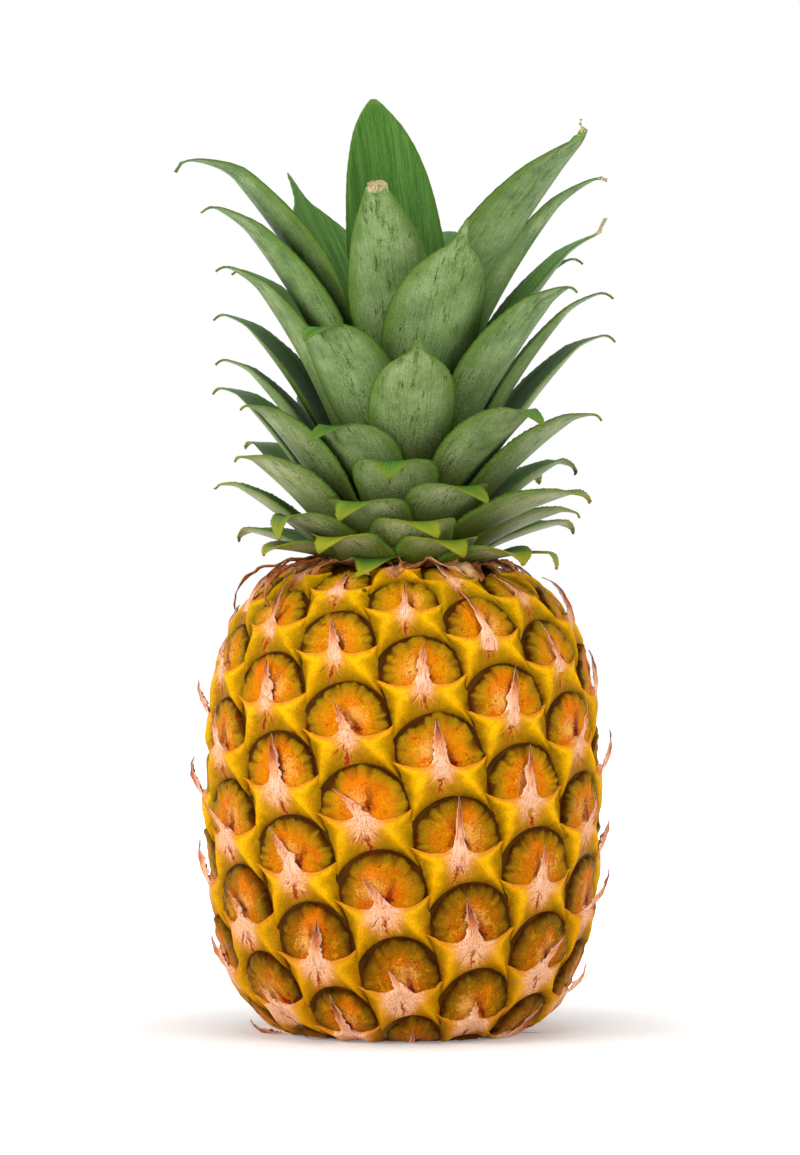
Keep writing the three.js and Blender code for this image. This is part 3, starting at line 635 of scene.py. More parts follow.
    along = addNode(tree, "ValToRGB", {"Fac": along}, stops=[
        (0.0, "#000000"), (0.3, "#ffffff"), (0.72, "#ffffff"), (1.0, "#000000")])
    width = addNode(tree, "Math", {0: second, 1: 0.45, 2: 0.28}, operation="MULTIPLY_ADD")
    crack = addNode(tree, "Math", {0: crack, 1: width}, operation="DIVIDE")
    crackEdge = addNode(tree, "MapRange", {"Value": crack, "From Min": 2.6, "From Max": 1, "To Max": 0.6},
                        interpolation_type="SMOOTHSTEP")
    crackEdge = addNode(tree, "Math", {0: crackEdge, 1: along}, operation="MULTIPLY")
    crack = addNode(tree, "MapRange", {"Value": crack, "From Min": 1.25, "From Max": 0.6, "To Max": 0.92},
                    interpolation_type="SMOOTHSTEP")
    crack = addNode(tree, "Math", {0: crack, 1: along}, operation="MULTIPLY")
    crack = addNode(tree, "Math", {0: split, 1: crack}, operation="MAXIMUM")
    specks = addNode(tree, "TexNoise", {"Vector": place, "Scale": 0.8, "Detail": 5, "Roughness": 0.8})
    specks = addNode(tree, "MapRange", {"Value": specks, "From Min": 0.63, "From Max": 0.7, "To Max": 0.7},
                     interpolation_type="SMOOTHSTEP")
    grain = addNode(tree, "MapRange", {"Value": stipple, "From Min": 0.5, "From Max": 0.68, "To Max": 0.5})
    # Pale yellow specks away from the grooves are painted glints.
    paintedGlints = addNode(tree, "MapRange", {"Value": stipple, "From Min": 0.46, "From Max": 0.32, "To Max": 0.4})
    away = addNode(tree, "MapRange", {"Value": uneven, "From Min": 0.06, "From Max": 0.2})
    paintedGlints = addNode(tree, "Math", {0: paintedGlints, 1: away}, operation="MULTIPLY")
    lip = addNode(tree, "Math", {0: wobble, 1: 0.5, 2: lip}, operation="MULTIPLY_ADD")
    lip = addNode(tree, "MapRange", {"Value": lip, "From Min": 0.5, "From Max": 1.05, "To Max": 0.75})
    warm = addNode(tree, "MapRange", {"Value": wobble, "From Min": 0.5, "From Max": 0.68, "To Max": 0.6})
    masks = ((hollow, "#946804"), (warm, "#d07800"), (grain, "#966000"), (paintedGlints, "#ffc41e"),
             (lip, "#dc8426"), (rosy, "#e48c34"), (flesh, pale), (specks, "#9c3c04"),
             (crackEdge, "#dc8038"), (crack, "#8c260a"))
    for mask, tint in masks:
        colour = addNode(tree, "Mix", {0: mask, 6: colour, 7: tint}, output=2, data_type="RGBA")
    relief = addNode(tree, "Math", {0: crack, 1: -1.5, 2: stipple}, operation="MULTIPLY_ADD")
    relief = addNode(tree, "Math", {0: wobble, 1: 2, 2: relief}, operation="MULTIPLY_ADD")
    finishMaterial(tree, shader, colour, relief, 0.5, 0.0006)
    return made


# Spines: the bract's papery point, drawn out over the eye.
spineForm = {
    "columns": 6,
    "rows": 20,
    # share of the length, and half the width in millimetres
    "width": [(-0.25, 5.4), (-0.12, 4.4), (0, 3.3), (0.1, 2.3), (0.25, 1.9), (0.45, 1.6), (0.72, 0.85),
              (1, 0.06)],
    "widthSamples": 60,
    "length": 13,
    # middle and spread of a spine with no habit of its own: length as a share, how far its point lies aside
    # as a share of the length, width as a share, and the power that it bends with
    "ordinary": [(1, 0.25), (-0.1, 0.24), (0.9, 0.3), (1.5, 1)],
    "root": 0.25,  # share of the length that lies inside the bract
    "foot": (0.2, -2.9),  # where it leaves the lip
    "thick": 0.3,
    "stand": (4.2, 0.35),  # how far it stands off, at the sides and in front
    "rise": 1.9,  # the arc that it stands off in
    "fall": (1.3, 0.4),  # middle and spread
    "dive": 7.5,  # how steeply its root goes into the bract
    "cupped": 0.22,
    "ragged": (0.45, 0.5),  # edges, coarse and fine
    "ripple": 0.5,
    "nearCrown": 1.35,  # how much longer it is there
}

# Spines of their own: length and how far the point lies to the right, in millimetres, width as a share, and
# the power with which it bends that way.
spineOwn = {
    26: (12.5, -3.7, 0.9, 1.4), 18: (13, -1.2, 1.3, 1), 13: (10.5, -4.2, 0.85, 1), 5: (15.5, -1.2, 1.15, 1),
    31: (18, -5, 0.55, 2.5), 23: (10, 3, 0.6, 1.5), 10: (13, 0.5, 0.55, 2), 39: (12, 0.4, 1, 1),
    21: (12.8, 1.2, 1.15, 5), 8: (15, -1.8, 1.25, 1), 16: (15, 2.4, 1.1, 1), 29: (20, -8, 0.75, 1.7),
    24: (12.5, -6, 0.55, 1.2), 11: (13, 0.4, 0.5, 1.5), 3: (16, -0.2, 1, 1), 34: (13.5, 0.2, 0.6, 1),
    37: (12, -8, 0.6, 1.1), 19: (13, -2.5, 0.6, 2), 32: (16, -4, 0.6, 1.5), 6: (13, -3, 0.6, 2),
    0: (9, -10, 1.15, 1.3), -8: (13, -7.2, 1.3, 1.1), -3: (10, -5, 0.6, 2), -13: (8.5, -6.6, 1, 1.1),
    -16: (9, -3, 0.7, 2.5), -21: (12.2, 3.1, 1.25, 1), -26: (7, -4.5, 1, 1.2), -5: (17, -0.6, 0.8, 1),
    -10: (11.5, -1, 1, 3), -18: (12.3, -3.6, 1.1, 1.2), -2: (10.5, -2, 0.6, 1.2), -23: (10, 8, 0.95, 1.2),
    -15: (12, 6.5, 0.65, 1.3), -31: (7, -2, 1, 1), -29: (8, -3, 0.9, 1.4),
}


def spinePattern():
    bm = bmesh.new()
    bmesh.ops.create_grid(bm, x_segments=spineForm["columns"], y_segments=spineForm["rows"], size=1)
    bmesh.ops.solidify(bm, geom=list(bm.faces), thickness=1)
    bmesh.ops.recalc_face_normals(bm, faces=bm.faces)
    return bm


spineWidths = [spline(spineForm["width"], i / spineForm["widthSamples"])
               for i in range(spineForm["widthSamples"] + 1)]


def spineShape(point, habit):
    side, under = point.x, abs(point.z)
    along = -spineForm["root"] + (1 + spineForm["root"]) * (point.y + 1) / 2
    dice, seed = habit["dice"], habit["seed"]
    q = max(along, 0)
    i = min(bisect.bisect_left([w[0] for w in spineWidths], along), spineForm["widthSamples"])
    length, lean, wide, bend = [middle + spread * dice[die] for (middle, spread), die
                                in zip(spineForm["ordinary"], (0, 4, 3, 6))]
    ordinary = (spineForm["length"] * length, spineForm["length"] * lean, wide, bend)
    length, lean, wide, bend = spineOwn.get(habit["eye"], ordinary)
    if habit["eye"] not in spineOwn:
        length *= lerp(1, spineForm["nearCrown"], smooth(heightOf(habit["eye"]), 0.78, 0.95))
    half = spineWidths[i][1] * lerp(1, wide, smooth(along, -0.05, 0.2))
    coarse, fine = spineForm["ragged"]
    half *= 1 + coarse * noise.noise(Vector((along * 7, side * 2, seed))) * smooth(along, 0.05, 0.3)
    half *= 1 + fine * noise.noise(Vector((along * 21, side * 3, seed + 4))) * smooth(along, 0.0, 0.2)
    across = spineForm["foot"][0] + side * half + lean * q ** bend
    across += 0.9 * noise.noise(Vector((along * 4, seed, 3))) * q * (1 - q)
    up = spineForm["foot"][1] + length * along + 0.3 * dice[2]
    facing = math.cos(math.radians(eyeAzimuth(habit["eye"]) + math.degrees(across / growth["widest"])))
    stand = lerp(*spineForm["stand"], smooth(facing, 0.2, 0.9)) * (1 + 0.5 * dice[7])
    stand *= lerp(0.6, 1, smooth(facing, -0.9, -0.5))
    fall, spread = spineForm["fall"]
    curve = spineForm["rise"] * q - (fall + spread * dice[1]) * q * q
    lift = bractForm["hubLift"] + 0.2 + stand * curve - spineForm["dive"] * max(-along, 0) ** 1.2
    closing = 1 + lerp(4.5, 1.2, smooth(facing, 0.2, 0.8)) * smooth(along, 0, 0.3)
    lift -= spineForm["cupped"] * side ** 2 * half * closing
    ripple = spineForm["ripple"] * noise.noise(Vector((along * 5, side, seed + 7)))
    lift += ripple * smooth(along, 0.1, 0.4) * smooth(facing, 1, 0.7)
    return across, up, lift - spineForm["thick"] * under * (1 - 0.7 * q), 0, abs(side)


def spineMaterial():
    # Dead papery bract tip: thin, matt and fibrous, pink-cream at its foot and toasted brown at its point.
    made, tree, shader = newMaterial("pineapple spine, papery", 0.65, 0.05)
    across, up, chance = [addNode(tree, "Attribute", output="Fac", attribute_name=mark)
                          for mark in ("across", "up", "chance")]
    layer = addNode(tree, "Math", {0: chance, 1: 43}, operation="MULTIPLY")
    place = addNode(tree, "CombineXYZ", {"X": across, "Y": up, "Z": layer})
    fibres = addNode(tree, "VectorMath", {0: place, 1: (2.6, 0.35, 1)}, operation="MULTIPLY")
    fibres = addNode(tree, "TexNoise", {"Vector": fibres, "Scale": 1, "Detail": 4, "Roughness": 0.65})
    stipple = addNode(tree, "TexNoise", {"Vector": place, "Scale": 2.2, "Detail": 2, "Roughness": 0.7})
    toast = addNode(tree, "Math", {0: fibres, 1: 9, 2: up}, operation="MULTIPLY_ADD")
    toast = addNode(tree, "MapRange", {"Value": toast, "From Min": -1, "From Max": 15})
    toast = addNode(tree, "Math", {0: chance, 1: 0.35, 2: toast}, operation="MULTIPLY_ADD")
    height = addNode(tree, "Attribute", output="Fac", attribute_name="height")
    height = addNode(tree, "MapRange", {"Value": height, "From Min": 0.82, "From Max": 1, "To Max": 0.4})
    toast = addNode(tree, "Math", {0: toast, 1: height}, operation="ADD")
    colour = addNode(tree, "ValToRGB", {"Fac": toast}, stops=[
        (0.05, "#f6b890"), (0.3, "#f6c6a2"), (0.58, "#eaa678"), (0.8, "#c06e3c"), (1.0, "#643216")])
    edge = addNode(tree, "Attribute", output="Fac", attribute_name="fold")
    edge = addNode(tree, "MapRange", {"Value": edge, "From Min": 0.6, "From Max": 0.95, "To Max": 0.5})
    streak = addNode(tree, "MapRange", {"Value": fibres, "From Min": 0.5, "From Max": 0.62, "To Max": 0.8},
                     interpolation_type="SMOOTHSTEP")
    fleck = addNode(tree, "MapRange", {"Value": stipple, "From Min": 0.58, "From Max": 0.68, "To Max": 0.6},
                    interpolation_type="SMOOTHSTEP")
    for mask, tint in ((streak, "#c2603e"), (edge, "#fce2ca"), (fleck, "#983818")):
        colour = addNode(tree, "Mix", {0: mask, 6: colour, 7: tint}, output=2, data_type="RGBA")
    finishMaterial(tree, shader, colour, fibres, 0.5, 0.0004)
    return made


makeCore()
eyes = range(growth["lowest"], growth["highest"] + 1)
middleRow = 48  # the bracts are two pieces, which keeps each of them light
growPieces("rindEyes", eyePattern(), eyes, eyeShape, eyeMaterial())
bractSkin, spineSkin = bractMaterial(), spineMaterial()
growPieces("rindBractsLow", bractPattern(), eyes[:middleRow], bractShape, bractSkin)
growPieces("rindBractsHigh", bractPattern(), eyes[middleRow:], bractShape, bractSkin)
growPieces("rindSpines", spinePattern(), eyes, spineShape, spineSkin)
print("fruit grown")

# Crown: stem and leaves.
crown = {
    "count": 52,
    "turn": 137.5,  # from one leaf to the next
    "firstTurn": 13,
    "lowest": 149.4,  # leaf's foot, and how far up the stem the last one is
    "height": 41,
    "lean": 7,  # how far the low leaves sink towards the front
    "crowding": 1.75,
    "collar": 148.4,
    "collarRadius": 23,
    "stemHeight": 46,
    "taper": 0.67,
    "clasp": 0.45,  # how far a leaf's foot wraps round the stem
    "claspWide": 1.5,
    "clear": 0.7,  # of the stem
    "dropOut": 0.6,  # how far out a leaf goes for each millimetre that it sits lower
    "open": (0.3, 0.55),  # share of the length where the full width is reached, lowest and highest leaf
    "channel": 24,  # radius of the hollow along the leaf
    "hookFrom": 0.8,
    "curl": 60,  # degrees that the last of a hooked tip curls on
    "steps": 60,
    "columns": 12,
    # number: start elevation, arch, hook (degrees), length, width
    "habits": [(0, 12, 12, 40, 42, 23), (8, 24, 16, 40, 47, 26), (16, 40, 20, 36, 54, 28),
               (24, 53, 22, 34, 64, 28), (34, 64, 26, 30, 81, 28), (42, 71, 26, 26, 97, 31),
               (50, 76, 30, 24, 110, 31), (51, 88, 10, 6, 104, 33)],
    "thick": 1.1,
    "thinEdge": 0.35,
    "thinning": (1.2, 0.7),  # from the foot to the tip
    "narrowest": 0.12,
    "teeth": (0.45, 0.1),  # lowest and highest leaf
    "toothed": (0.06, 0.985),  # share of the length
    "crumple": 2.2,  # of a dry tip
    "crumpled": (0.93, 0.99),  # share of the length that it comes in over
}

# What each leaf has of its own: degrees more than the habit of its row has, length and width as shares of
# it, how far it sways or its tip lies aside, how far its foot drops, how dry it is, and the kind of tip.
leafOwn = {
    0: {"turn": -30, "elevation": -2, "arch": 26, "hook": -20, "length": 0.48, "aside": -3.5, "drop": 0.3,
        "tip": "flap"},
    1: {"turn": -85, "elevation": -1, "arch": 15, "hook": 50, "length": 0.75, "drop": 1.5, "tip": "strap"},
    2: {"turn": 10, "elevation": 1, "length": 0.62},
    3: {"turn": -14, "elevation": 8, "arch": 16, "hook": 20, "length": 0.6, "sway": -2, "drop": 2.6},
    4: {"turn": 46, "elevation": 1, "hook": 15, "length": 0.8, "drop": 1},
    5: {"turn": -14, "elevation": 32, "arch": 25, "hook": 78, "length": 0.46, "sway": -2, "aside": -3,
        "drop": 2.2, "flap": 6, "tip": "fold"},
    6: {"length": 0.92},
    7: {"turn": 8, "elevation": 20, "length": 0.97, "drop": 0.5, "dry": 0.3},
    8: {"turn": -10, "elevation": 31, "arch": 28, "hook": 80, "length": 0.37, "sway": 2, "aside": 3,
        "drop": 2.8, "tip": "fold"},
    10: {"turn": -4, "elevation": 16, "arch": 14, "hook": 75, "length": 0.66, "aside": 2, "drop": 1,
         "flap": 9, "tip": "fold"},
    11: {"elevation": 2, "length": 0.74},
    12: {"turn": 8, "elevation": 16, "length": 1.15},
    13: {"turn": 5, "elevation": 23, "arch": 21, "hook": 78, "length": 0.42, "sway": 3, "aside": 4,
         "drop": 2, "tip": "fold"},
    15: {"turn": 20, "elevation": 13, "length": 0.88, "wide": 1.1},
    16: {"turn": 8, "elevation": -7, "length": 0.9, "dry": 0.4},
    18: {"turn": 9, "elevation": 11, "arch": 15, "hook": 85, "length": 0.45, "aside": -5, "drop": 0.5,
         "flap": 7.5, "tip": "fold"},
    19: {"elevation": 1, "hook": 30, "length": 0.8, "dry": 0.4},
    20: {"turn": 3, "elevation": 12, "length": 1.17},
    21: {"turn": 8, "elevation": 6, "arch": 13, "hook": 80, "length": 0.48, "aside": 7.5, "flap": 7,
         "tip": "fold"},
    23: {"turn": -1, "elevation": 12, "length": 0.86},
    24: {"length": 0.92},
    26: {"turn": 7, "elevation": 2, "arch": 7, "hook": 105, "length": 0.48, "aside": -1, "flap": 7,
         "tip": "fold"},
    27: {"turn": -20, "elevation": 6, "length": 1.18},
    28: {"elevation": 8, "length": 0.95},
    29: {"turn": 3, "elevation": -2, "arch": 2, "hook": 85, "length": 0.715, "sway": 2, "aside": 6.5,
         "flap": 7.5, "tip": "fold"},
    31: {"turn": 15, "elevation": 3, "arch": 5, "hook": 90, "length": 0.505, "sway": -3, "aside": -7,
         "flap": 7.5, "tip": "fold"},
    32: {"elevation": 8, "length": 1.12},
    33: {"turn": 22, "elevation": 4, "length": 1.0},
    34: {"turn": -3, "hook": -30, "length": 0.78, "tip": "cusp"},
    35: {"turn": -34, "elevation": 9, "length": 1.12},
    36: {"elevation": 9, "length": 1.02},
    37: {"turn": -6, "elevation": 1, "length": 0.95},
    39: {"turn": -5, "elevation": -3, "hook": 80, "length": 0.71, "aside": -5, "flap": 8, "tip": "fold"},
    40: {"turn": -8, "elevation": 1, "length": 1.08, "curl": -130, "dry": 2.2},
    41: {"turn": 4, "elevation": 2, "length": 0.86},
    42: {"turn": -9, "hook": -26, "length": 0.92, "wide": 1.12, "tip": "cusp"},
    44: {"turn": -13, "dry": 0.3},
    45: {"elevation": 2, "length": 1.06, "dry": 1.2},
    46: {"hook": -30, "length": 1.03, "dry": 0.3, "tip": "cusp"},
    47: {"hook": -24, "length": 0.88, "sway": -4, "dry": 0.85, "tip": "blunt"},
    48: {"length": 0.85},
    49: {"turn": 18, "elevation": -4, "hook": 24, "length": 1.085, "dry": 0.4},
    50: {"elevation": -5, "arch": 6, "hook": -14, "length": 1.08, "curl": -150, "dry": 1.2},
    51: {"turn": 8, "length": 1.035, "sway": 5, "wide": 1.06, "tip": "round"},
}

leafOutlines = {
    "hook": [(0, 0.8), (0.15, 0.9), (0.4, 1), (0.6, 0.94), (0.77, 0.68), (0.89, 0.34), (0.95, 0.14),
             (1, 0.01)],
    "fold": [(0, 0.8), (0.1, 0.9), (0.25, 1), (0.36, 0.97), (0.45, 0.8), (0.5, 0.56), (0.56, 0.42),
             (0.7, 0.32), (0.86, 0.16), (1, 0.01)],
    "flap": [(0, 0.8), (0.25, 0.6), (0.5, 0.42), (0.75, 0.24), (1, 0.01)],
    "strap": [(0, 0.8), (0.12, 0.5), (0.3, 0.3), (0.8, 0.2), (0.93, 0.13), (1, 0.02)],
    "cusp": [(0, 0.8), (0.15, 0.9), (0.38, 1), (0.58, 0.96), (0.73, 0.74), (0.83, 0.42), (0.89, 0.17),
             (1, 0.01)],
    "blunt": [(0, 0.8), (0.15, 0.9), (0.35, 1), (0.56, 0.95), (0.75, 0.72), (0.89, 0.42), (0.96, 0.25),
              (1, 0.17)],
    "round": [(0, 0.8), (0.15, 0.9), (0.35, 1), (0.56, 0.98), (0.74, 0.82), (0.88, 0.54), (0.96, 0.26),
              (1, 0.06)],
}


def stemRadius(height):
    share = min(max((height - crown["collar"]) / crown["stemHeight"], 0), 1)
    return crown["collarRadius"] * (1 - share) ** crown["taper"]


def leafHabit(number):
    table = crown["habits"]
    above = max(next(i for i, row in enumerate(table) if row[0] >= number), 1)
    low, high = table[above - 1], table[above]
    share = (number - low[0]) / (high[0] - low[0])
    _, elevation, arch, hook, length, width = [lerp(a, b, share) for a, b in zip(low, high)]
    azimuth = crown["firstTurn"] + crown["turn"] * number
    own = {"turn": 0, "elevation": 0, "arch": 0, "hook": 0, "length": 1, "sway": 0, "aside": 0, "wide": 1,
           "curl": 0, "drop": 0, "flap": 6.5, "dry": 0, "tip": "hook"}
    own.update(leafOwn.get(number, {}))
    lean = crown["lean"] * (1 - number / (crown["count"] - 1))
    length *= own["length"]
    return {
        "azimuth": azimuth + own["turn"],
        "elevation": elevation - lean * math.cos(math.radians(azimuth)) + own["elevation"],
        "arch": arch + own["arch"],
        "hook": hook + own["hook"],
        "length": length,
        "bendFrom": 1 - own["flap"] / length if own["tip"] == "fold" else crown["hookFrom"],
        "drop": own["drop"],
        "width": width * own["wide"],
        "sway": own["sway"],
        "aside": own["aside"],
        "curl": own["curl"] + (crown["curl"] if own["tip"] == "hook" else 0),
        "dry": own["dry"],
        "tip": own["tip"],
    }


# Radius, height and slope at each step along a leaf's middle.
def middleLine(radius, height, habit, steps):
    fine = 4  # strides in a step
    stride = habit["length"] / (steps * fine)
    line, r, z = [], radius, height
    for i in range(steps * fine + 1):
        share = i / (steps * fine)
        tip = max(0, (share - habit["bendFrom"]) / (1 - habit["bendFrom"]))
        curl = habit.get("curl", 0) * smooth(share, 0.92, 1)
        hook = habit["hook"] * math.sqrt(tip)
        angle = math.radians(habit["elevation"] - habit["arch"] * share - hook - curl)
        if i % fine == 0:
            line.append((r, z, angle))
        r += stride * math.cos(angle)
        z += stride * math.sin(angle)
    return line


# What every point of a strip keeps for the materials.
stripMarks = ("across", "up", "toTip", "side", "share", "inner", "chance", "shade", "dry")


# A thin strip along a middle line: half its width, how far it lies aside, its channel's radius and its
# thickness are functions of the share of its length.
def stripPiece(columns, steps, line, azimuth, aside, half, channel, thick, teeth, chance, shade, dry=0):
    bm = bmesh.new()
    bmesh.ops.create_grid(bm, x_segments=columns, y_segments=steps, size=1)
    bmesh.ops.solidify(bm, geom=list(bm.faces), thickness=1)
    marks = [bm.verts.layers.float.new(mark) for mark in stripMarks]
    turn = math.radians(azimuth)
    levels = [v.co.z for v in bm.verts]
    low, high = min(levels), max(levels)
    length = sum(math.dist(a[:2], b[:2]) for a, b in zip(line, line[1:]))
    firstTooth, lastTooth = crown["toothed"]
    for vert in bm.verts:
        side, share = vert.co.x, (vert.co.y + 1) / 2
        inner = 1 if vert.co.z > (low + high) / 2 else 0
        step = round(share * steps)
        r, z, angle = line[step]
        width, curl = half(share), channel(share)
        atEdge = abs(side) > 0.99
        if atEdge and firstTooth < share < lastTooth and step % 2:
            width += teeth * (0.2 + 1.6 * random.random())
        bend = side * width / curl
        lean = lerp(math.pi / 2, angle, smooth(share, 0, 0.3))
        rise = curl * (1 - math.cos(bend))
        depth = (inner - 0.5) * thick(side, share)
        out = curl * math.sin(bend) + aside(share)
        radius = r - math.sin(lean) * rise - math.sin(angle) * depth
        x, y = out, -radius
        vert.co = (x * math.cos(turn) - y * math.sin(turn), x * math.sin(turn) + y * math.cos(turn),
                   z + math.cos(lean) * rise + math.cos(angle) * depth)
        values = (side * width, share * length, (1 - share) * length, side, share, inner, chance, shade,
                  dry)
        for mark, value in zip(marks, values):
            vert[mark] = value
    bmesh.ops.recalc_face_normals(bm, faces=bm.faces)
    return bm


def leafMaterial():
    # Stiff pineapple leaf: a grey waxy bloom outside, glossier striped green inside, thin yellow-green
    # margins, fine lengthwise veins, scratches and rubbed streaks, and a dry tip.
    made, tree, shader = newMaterial("pineapple leaf, waxy bloom", 0.45, 0.12)
    marks = {mark: addNode(tree, "Attribute", output="Fac", attribute_name=mark) for mark in stripMarks}
    layer = addNode(tree, "Math", {0: marks["chance"], 1: 83}, operation="MULTIPLY")
    place = addNode(tree, "CombineXYZ", {"X": marks["across"], "Y": marks["up"], "Z": layer})
    lengthwise = addNode(tree, "VectorMath", {0: place, 1: (1, 0.03, 1)}, operation="MULTIPLY")
    veins = addNode(tree, "TexNoise", {"Vector": lengthwise, "Scale": 2.2, "Detail": 4, "Roughness": 0.75})
    bands = addNode(tree, "TexNoise", {"Vector": lengthwise, "Scale": 0.3, "Detail": 2})
    patches = addNode(tree, "TexNoise", {"Vector": place, "Scale": 0.09, "Detail": 4, "Roughness": 0.6})
    speckle = addNode(tree, "TexNoise", {"Vector": place, "Scale": 1.7, "Detail": 3, "Roughness": 0.75})
    pepper = addNode(tree, "TexNoise", {"Vector": place, "Scale": 3.6, "Detail": 2, "Roughness": 0.8})
    stretched = addNode(tree, "VectorMath", {0: place, 1: (1, 0.3, 1)}, operation="MULTIPLY")
    rubs = addNode(tree, "TexNoise", {"Vector": stretched, "Scale": 0.34, "Detail": 6, "Roughness": 0.78})
    edge = addNode(tree, "Math", {0: marks["side"]}, operation="ABSOLUTE")
    older = addNode(tree, "MapRange", {"Value": marks["shade"], "From Min": 0.1, "From Max": 0.76,
                                       "To Min": 1, "To Max": 0})
    # Outer face: blue-grey bloom over green, greyer on old leaves, with painted shade towards the foot.
    outer = addNode(tree, "ValToRGB", {"Fac": patches}, stops=[(0.34, "#587644"), (0.5, "#7a9859"),
                                                               (0.66, "#98ae76")])
    grey = addNode(tree, "ValToRGB", {"Fac": patches}, stops=[(0.3, "#8e945a"), (0.5, "#b0b07c"),
                                                              (0.7, "#d0cba2")])
    outer = addNode(tree, "Mix", {0: older, 6: outer, 7: grey}, output=2, data_type="RGBA")
    # Painted shade at the foot, where the leaves overlap: a dark olive tint with a ragged edge, on both
    # faces.
    foot = marks["share"]
    for value, share in ((patches, -0.4), (speckle, -0.5), (pepper, -0.3), (older, -0.06)):
        foot = addNode(tree, "Math", {0: value, 1: share, 2: foot}, operation="MULTIPLY_ADD")
    foot = addNode(tree, "MapRange", {"Value": foot, "From Min": -0.52, "From Max": -0.06, "To Min": 0.94,
                                      "To Max": 0}, interpolation_type="SMOOTHSTEP")
    vein = addNode(tree, "MapRange", {"Value": veins, "From Min": 0.4, "From Max": 0.7, "To Max": 0.5})
    hair = addNode(tree, "Math", {0: veins, 1: 0.47}, operation="SUBTRACT")
    hair = addNode(tree, "Math", {0: hair}, operation="ABSOLUTE")
    hair = addNode(tree, "MapRange", {"Value": hair, "From Min": 0.02, "From Max": 0.004, "To Max": 0.5})
    # Dark pepper in the bloom, thicker towards the foot, and coarser dots there.
    grains = addNode(tree, "Math", {0: marks["share"], 1: -0.09, 2: pepper}, operation="MULTIPLY_ADD")
    grains = addNode(tree, "MapRange", {"Value": grains, "From Min": 0.46, "From Max": 0.58,
                                        "To Max": 0.62})
    dots = addNode(tree, "Math", {0: marks["share"], 1: -0.12, 2: speckle}, operation="MULTIPLY_ADD")
    dots = addNode(tree, "MapRange", {"Value": dots, "From Min": 0.5, "From Max": 0.6, "To Max": 0.6})
    # Rubbed streaks and scratches show the dark green under the bloom, most at the tip and the middle.
    nearTip = addNode(tree, "MapRange", {"Value": marks["share"], "From Min": 0.4, "From Max": 0.95,
                                         "To Min": -0.03, "To Max": 0.1})
    middle = addNode(tree, "MapRange", {"Value": edge, "From Min": 0.0, "From Max": 0.6, "To Min": 0.04,
                                        "To Max": -0.04})
    worn = addNode(tree, "Math", {0: rubs, 1: nearTip}, operation="ADD")
    worn = addNode(tree, "Math", {0: worn, 1: middle}, operation="ADD")
    worn = addNode(tree, "Math", {0: speckle, 1: 0.2, 2: worn}, operation="MULTIPLY_ADD")
    worn = addNode(tree, "Math", {0: pepper, 1: 0.16, 2: worn}, operation="MULTIPLY_ADD")
    rub = addNode(tree, "MapRange", {"Value": worn, "From Min": 0.77, "From Max": 0.85, "To Max": 0.72},
                  interpolation_type="SMOOTHSTEP")
    slanting = addNode(tree, "Mapping", {"Vector": place, "Rotation": (0, 0, 0.6), "Scale": (0.8, 0.05, 1)})
    scratch = addNode(tree, "TexNoise", {"Vector": slanting, "Scale": 1, "Detail": 2, "Roughness": 0.5,
                                         "Distortion": 0.4})
    scratch = addNode(tree, "Math", {0: scratch, 1: 0.5}, operation="SUBTRACT")
    scratch = addNode(tree, "Math", {0: scratch}, operation="ABSOLUTE")
    scratch = addNode(tree, "MapRange", {"Value": scratch, "From Min": 0.018, "From Max": 0.006,
                                         "To Max": 0.9})
    some = addNode(tree, "MapRange", {"Value": rubs, "From Min": 0.5, "From Max": 0.54})
    scratch = addNode(tree, "Math", {0: scratch, 1: some}, operation="MULTIPLY")
    margin = addNode(tree, "Math", {0: speckle, 1: 0.2, 2: edge}, operation="MULTIPLY_ADD")
    hem = addNode(tree, "MapRange", {"Value": margin, "From Min": 0.7, "From Max": 1.0, "To Max": 0.6},
                  interpolation_type="SMOOTHSTEP")
    margin = addNode(tree, "MapRange", {"Value": margin, "From Min": 0.98, "From Max": 1.08, "To Max": 0.8},
                     interpolation_type="SMOOTHSTEP")
    rim = addNode(tree, "MapRange", {"Value": edge, "From Min": 0.97, "From Max": 1.0, "To Max": 0.75})
    young = addNode(tree, "ValToRGB", {"Fac": marks["shade"]},
                    stops=[(0.0, "#626a10"), (0.35, "#4c5a12"), (1.0, "#3e4022")])
    masks = ((vein, "#62803e"), (hair, "#c0cc9c"), (hem, "#557420"), (grains, "#4a5e28"), (foot, young),
             (dots, "#3c4c1c"), (rub, "#4a6a1c"), (scratch, "#2c3d10"), (margin, "#567422"),
             (rim, "#2c420e"))
    for mask, tint in masks:
        outer = addNode(tree, "Mix", {0: mask, 6: outer, 7: tint}, output=2, data_type="RGBA")
    # Inner face: glossier green in lengthwise stripes.
    inner = addNode(tree, "ValToRGB", {"Fac": bands}, stops=[(0.3, "#33601a"), (0.5, "#477428"),
                                                             (0.7, "#638e3c")])
    stripe = addNode(tree, "MapRange", {"Value": veins, "From Min": 0.4, "From Max": 0.66, "To Max": 0.6})
    masks = ((stripe, "#2c5414"), (hair, "#7ea050"), (foot, "#283c14"), (dots, "#2e5014"),
             (margin, "#4e7220"))
    for mask, tint in masks:
        inner = addNode(tree, "Mix", {0: mask, 6: inner, 7: tint}, output=2, data_type="RGBA")
    colour = addNode(tree, "Mix", {0: marks["inner"], 6: outer, 7: inner}, output=2, data_type="RGBA")
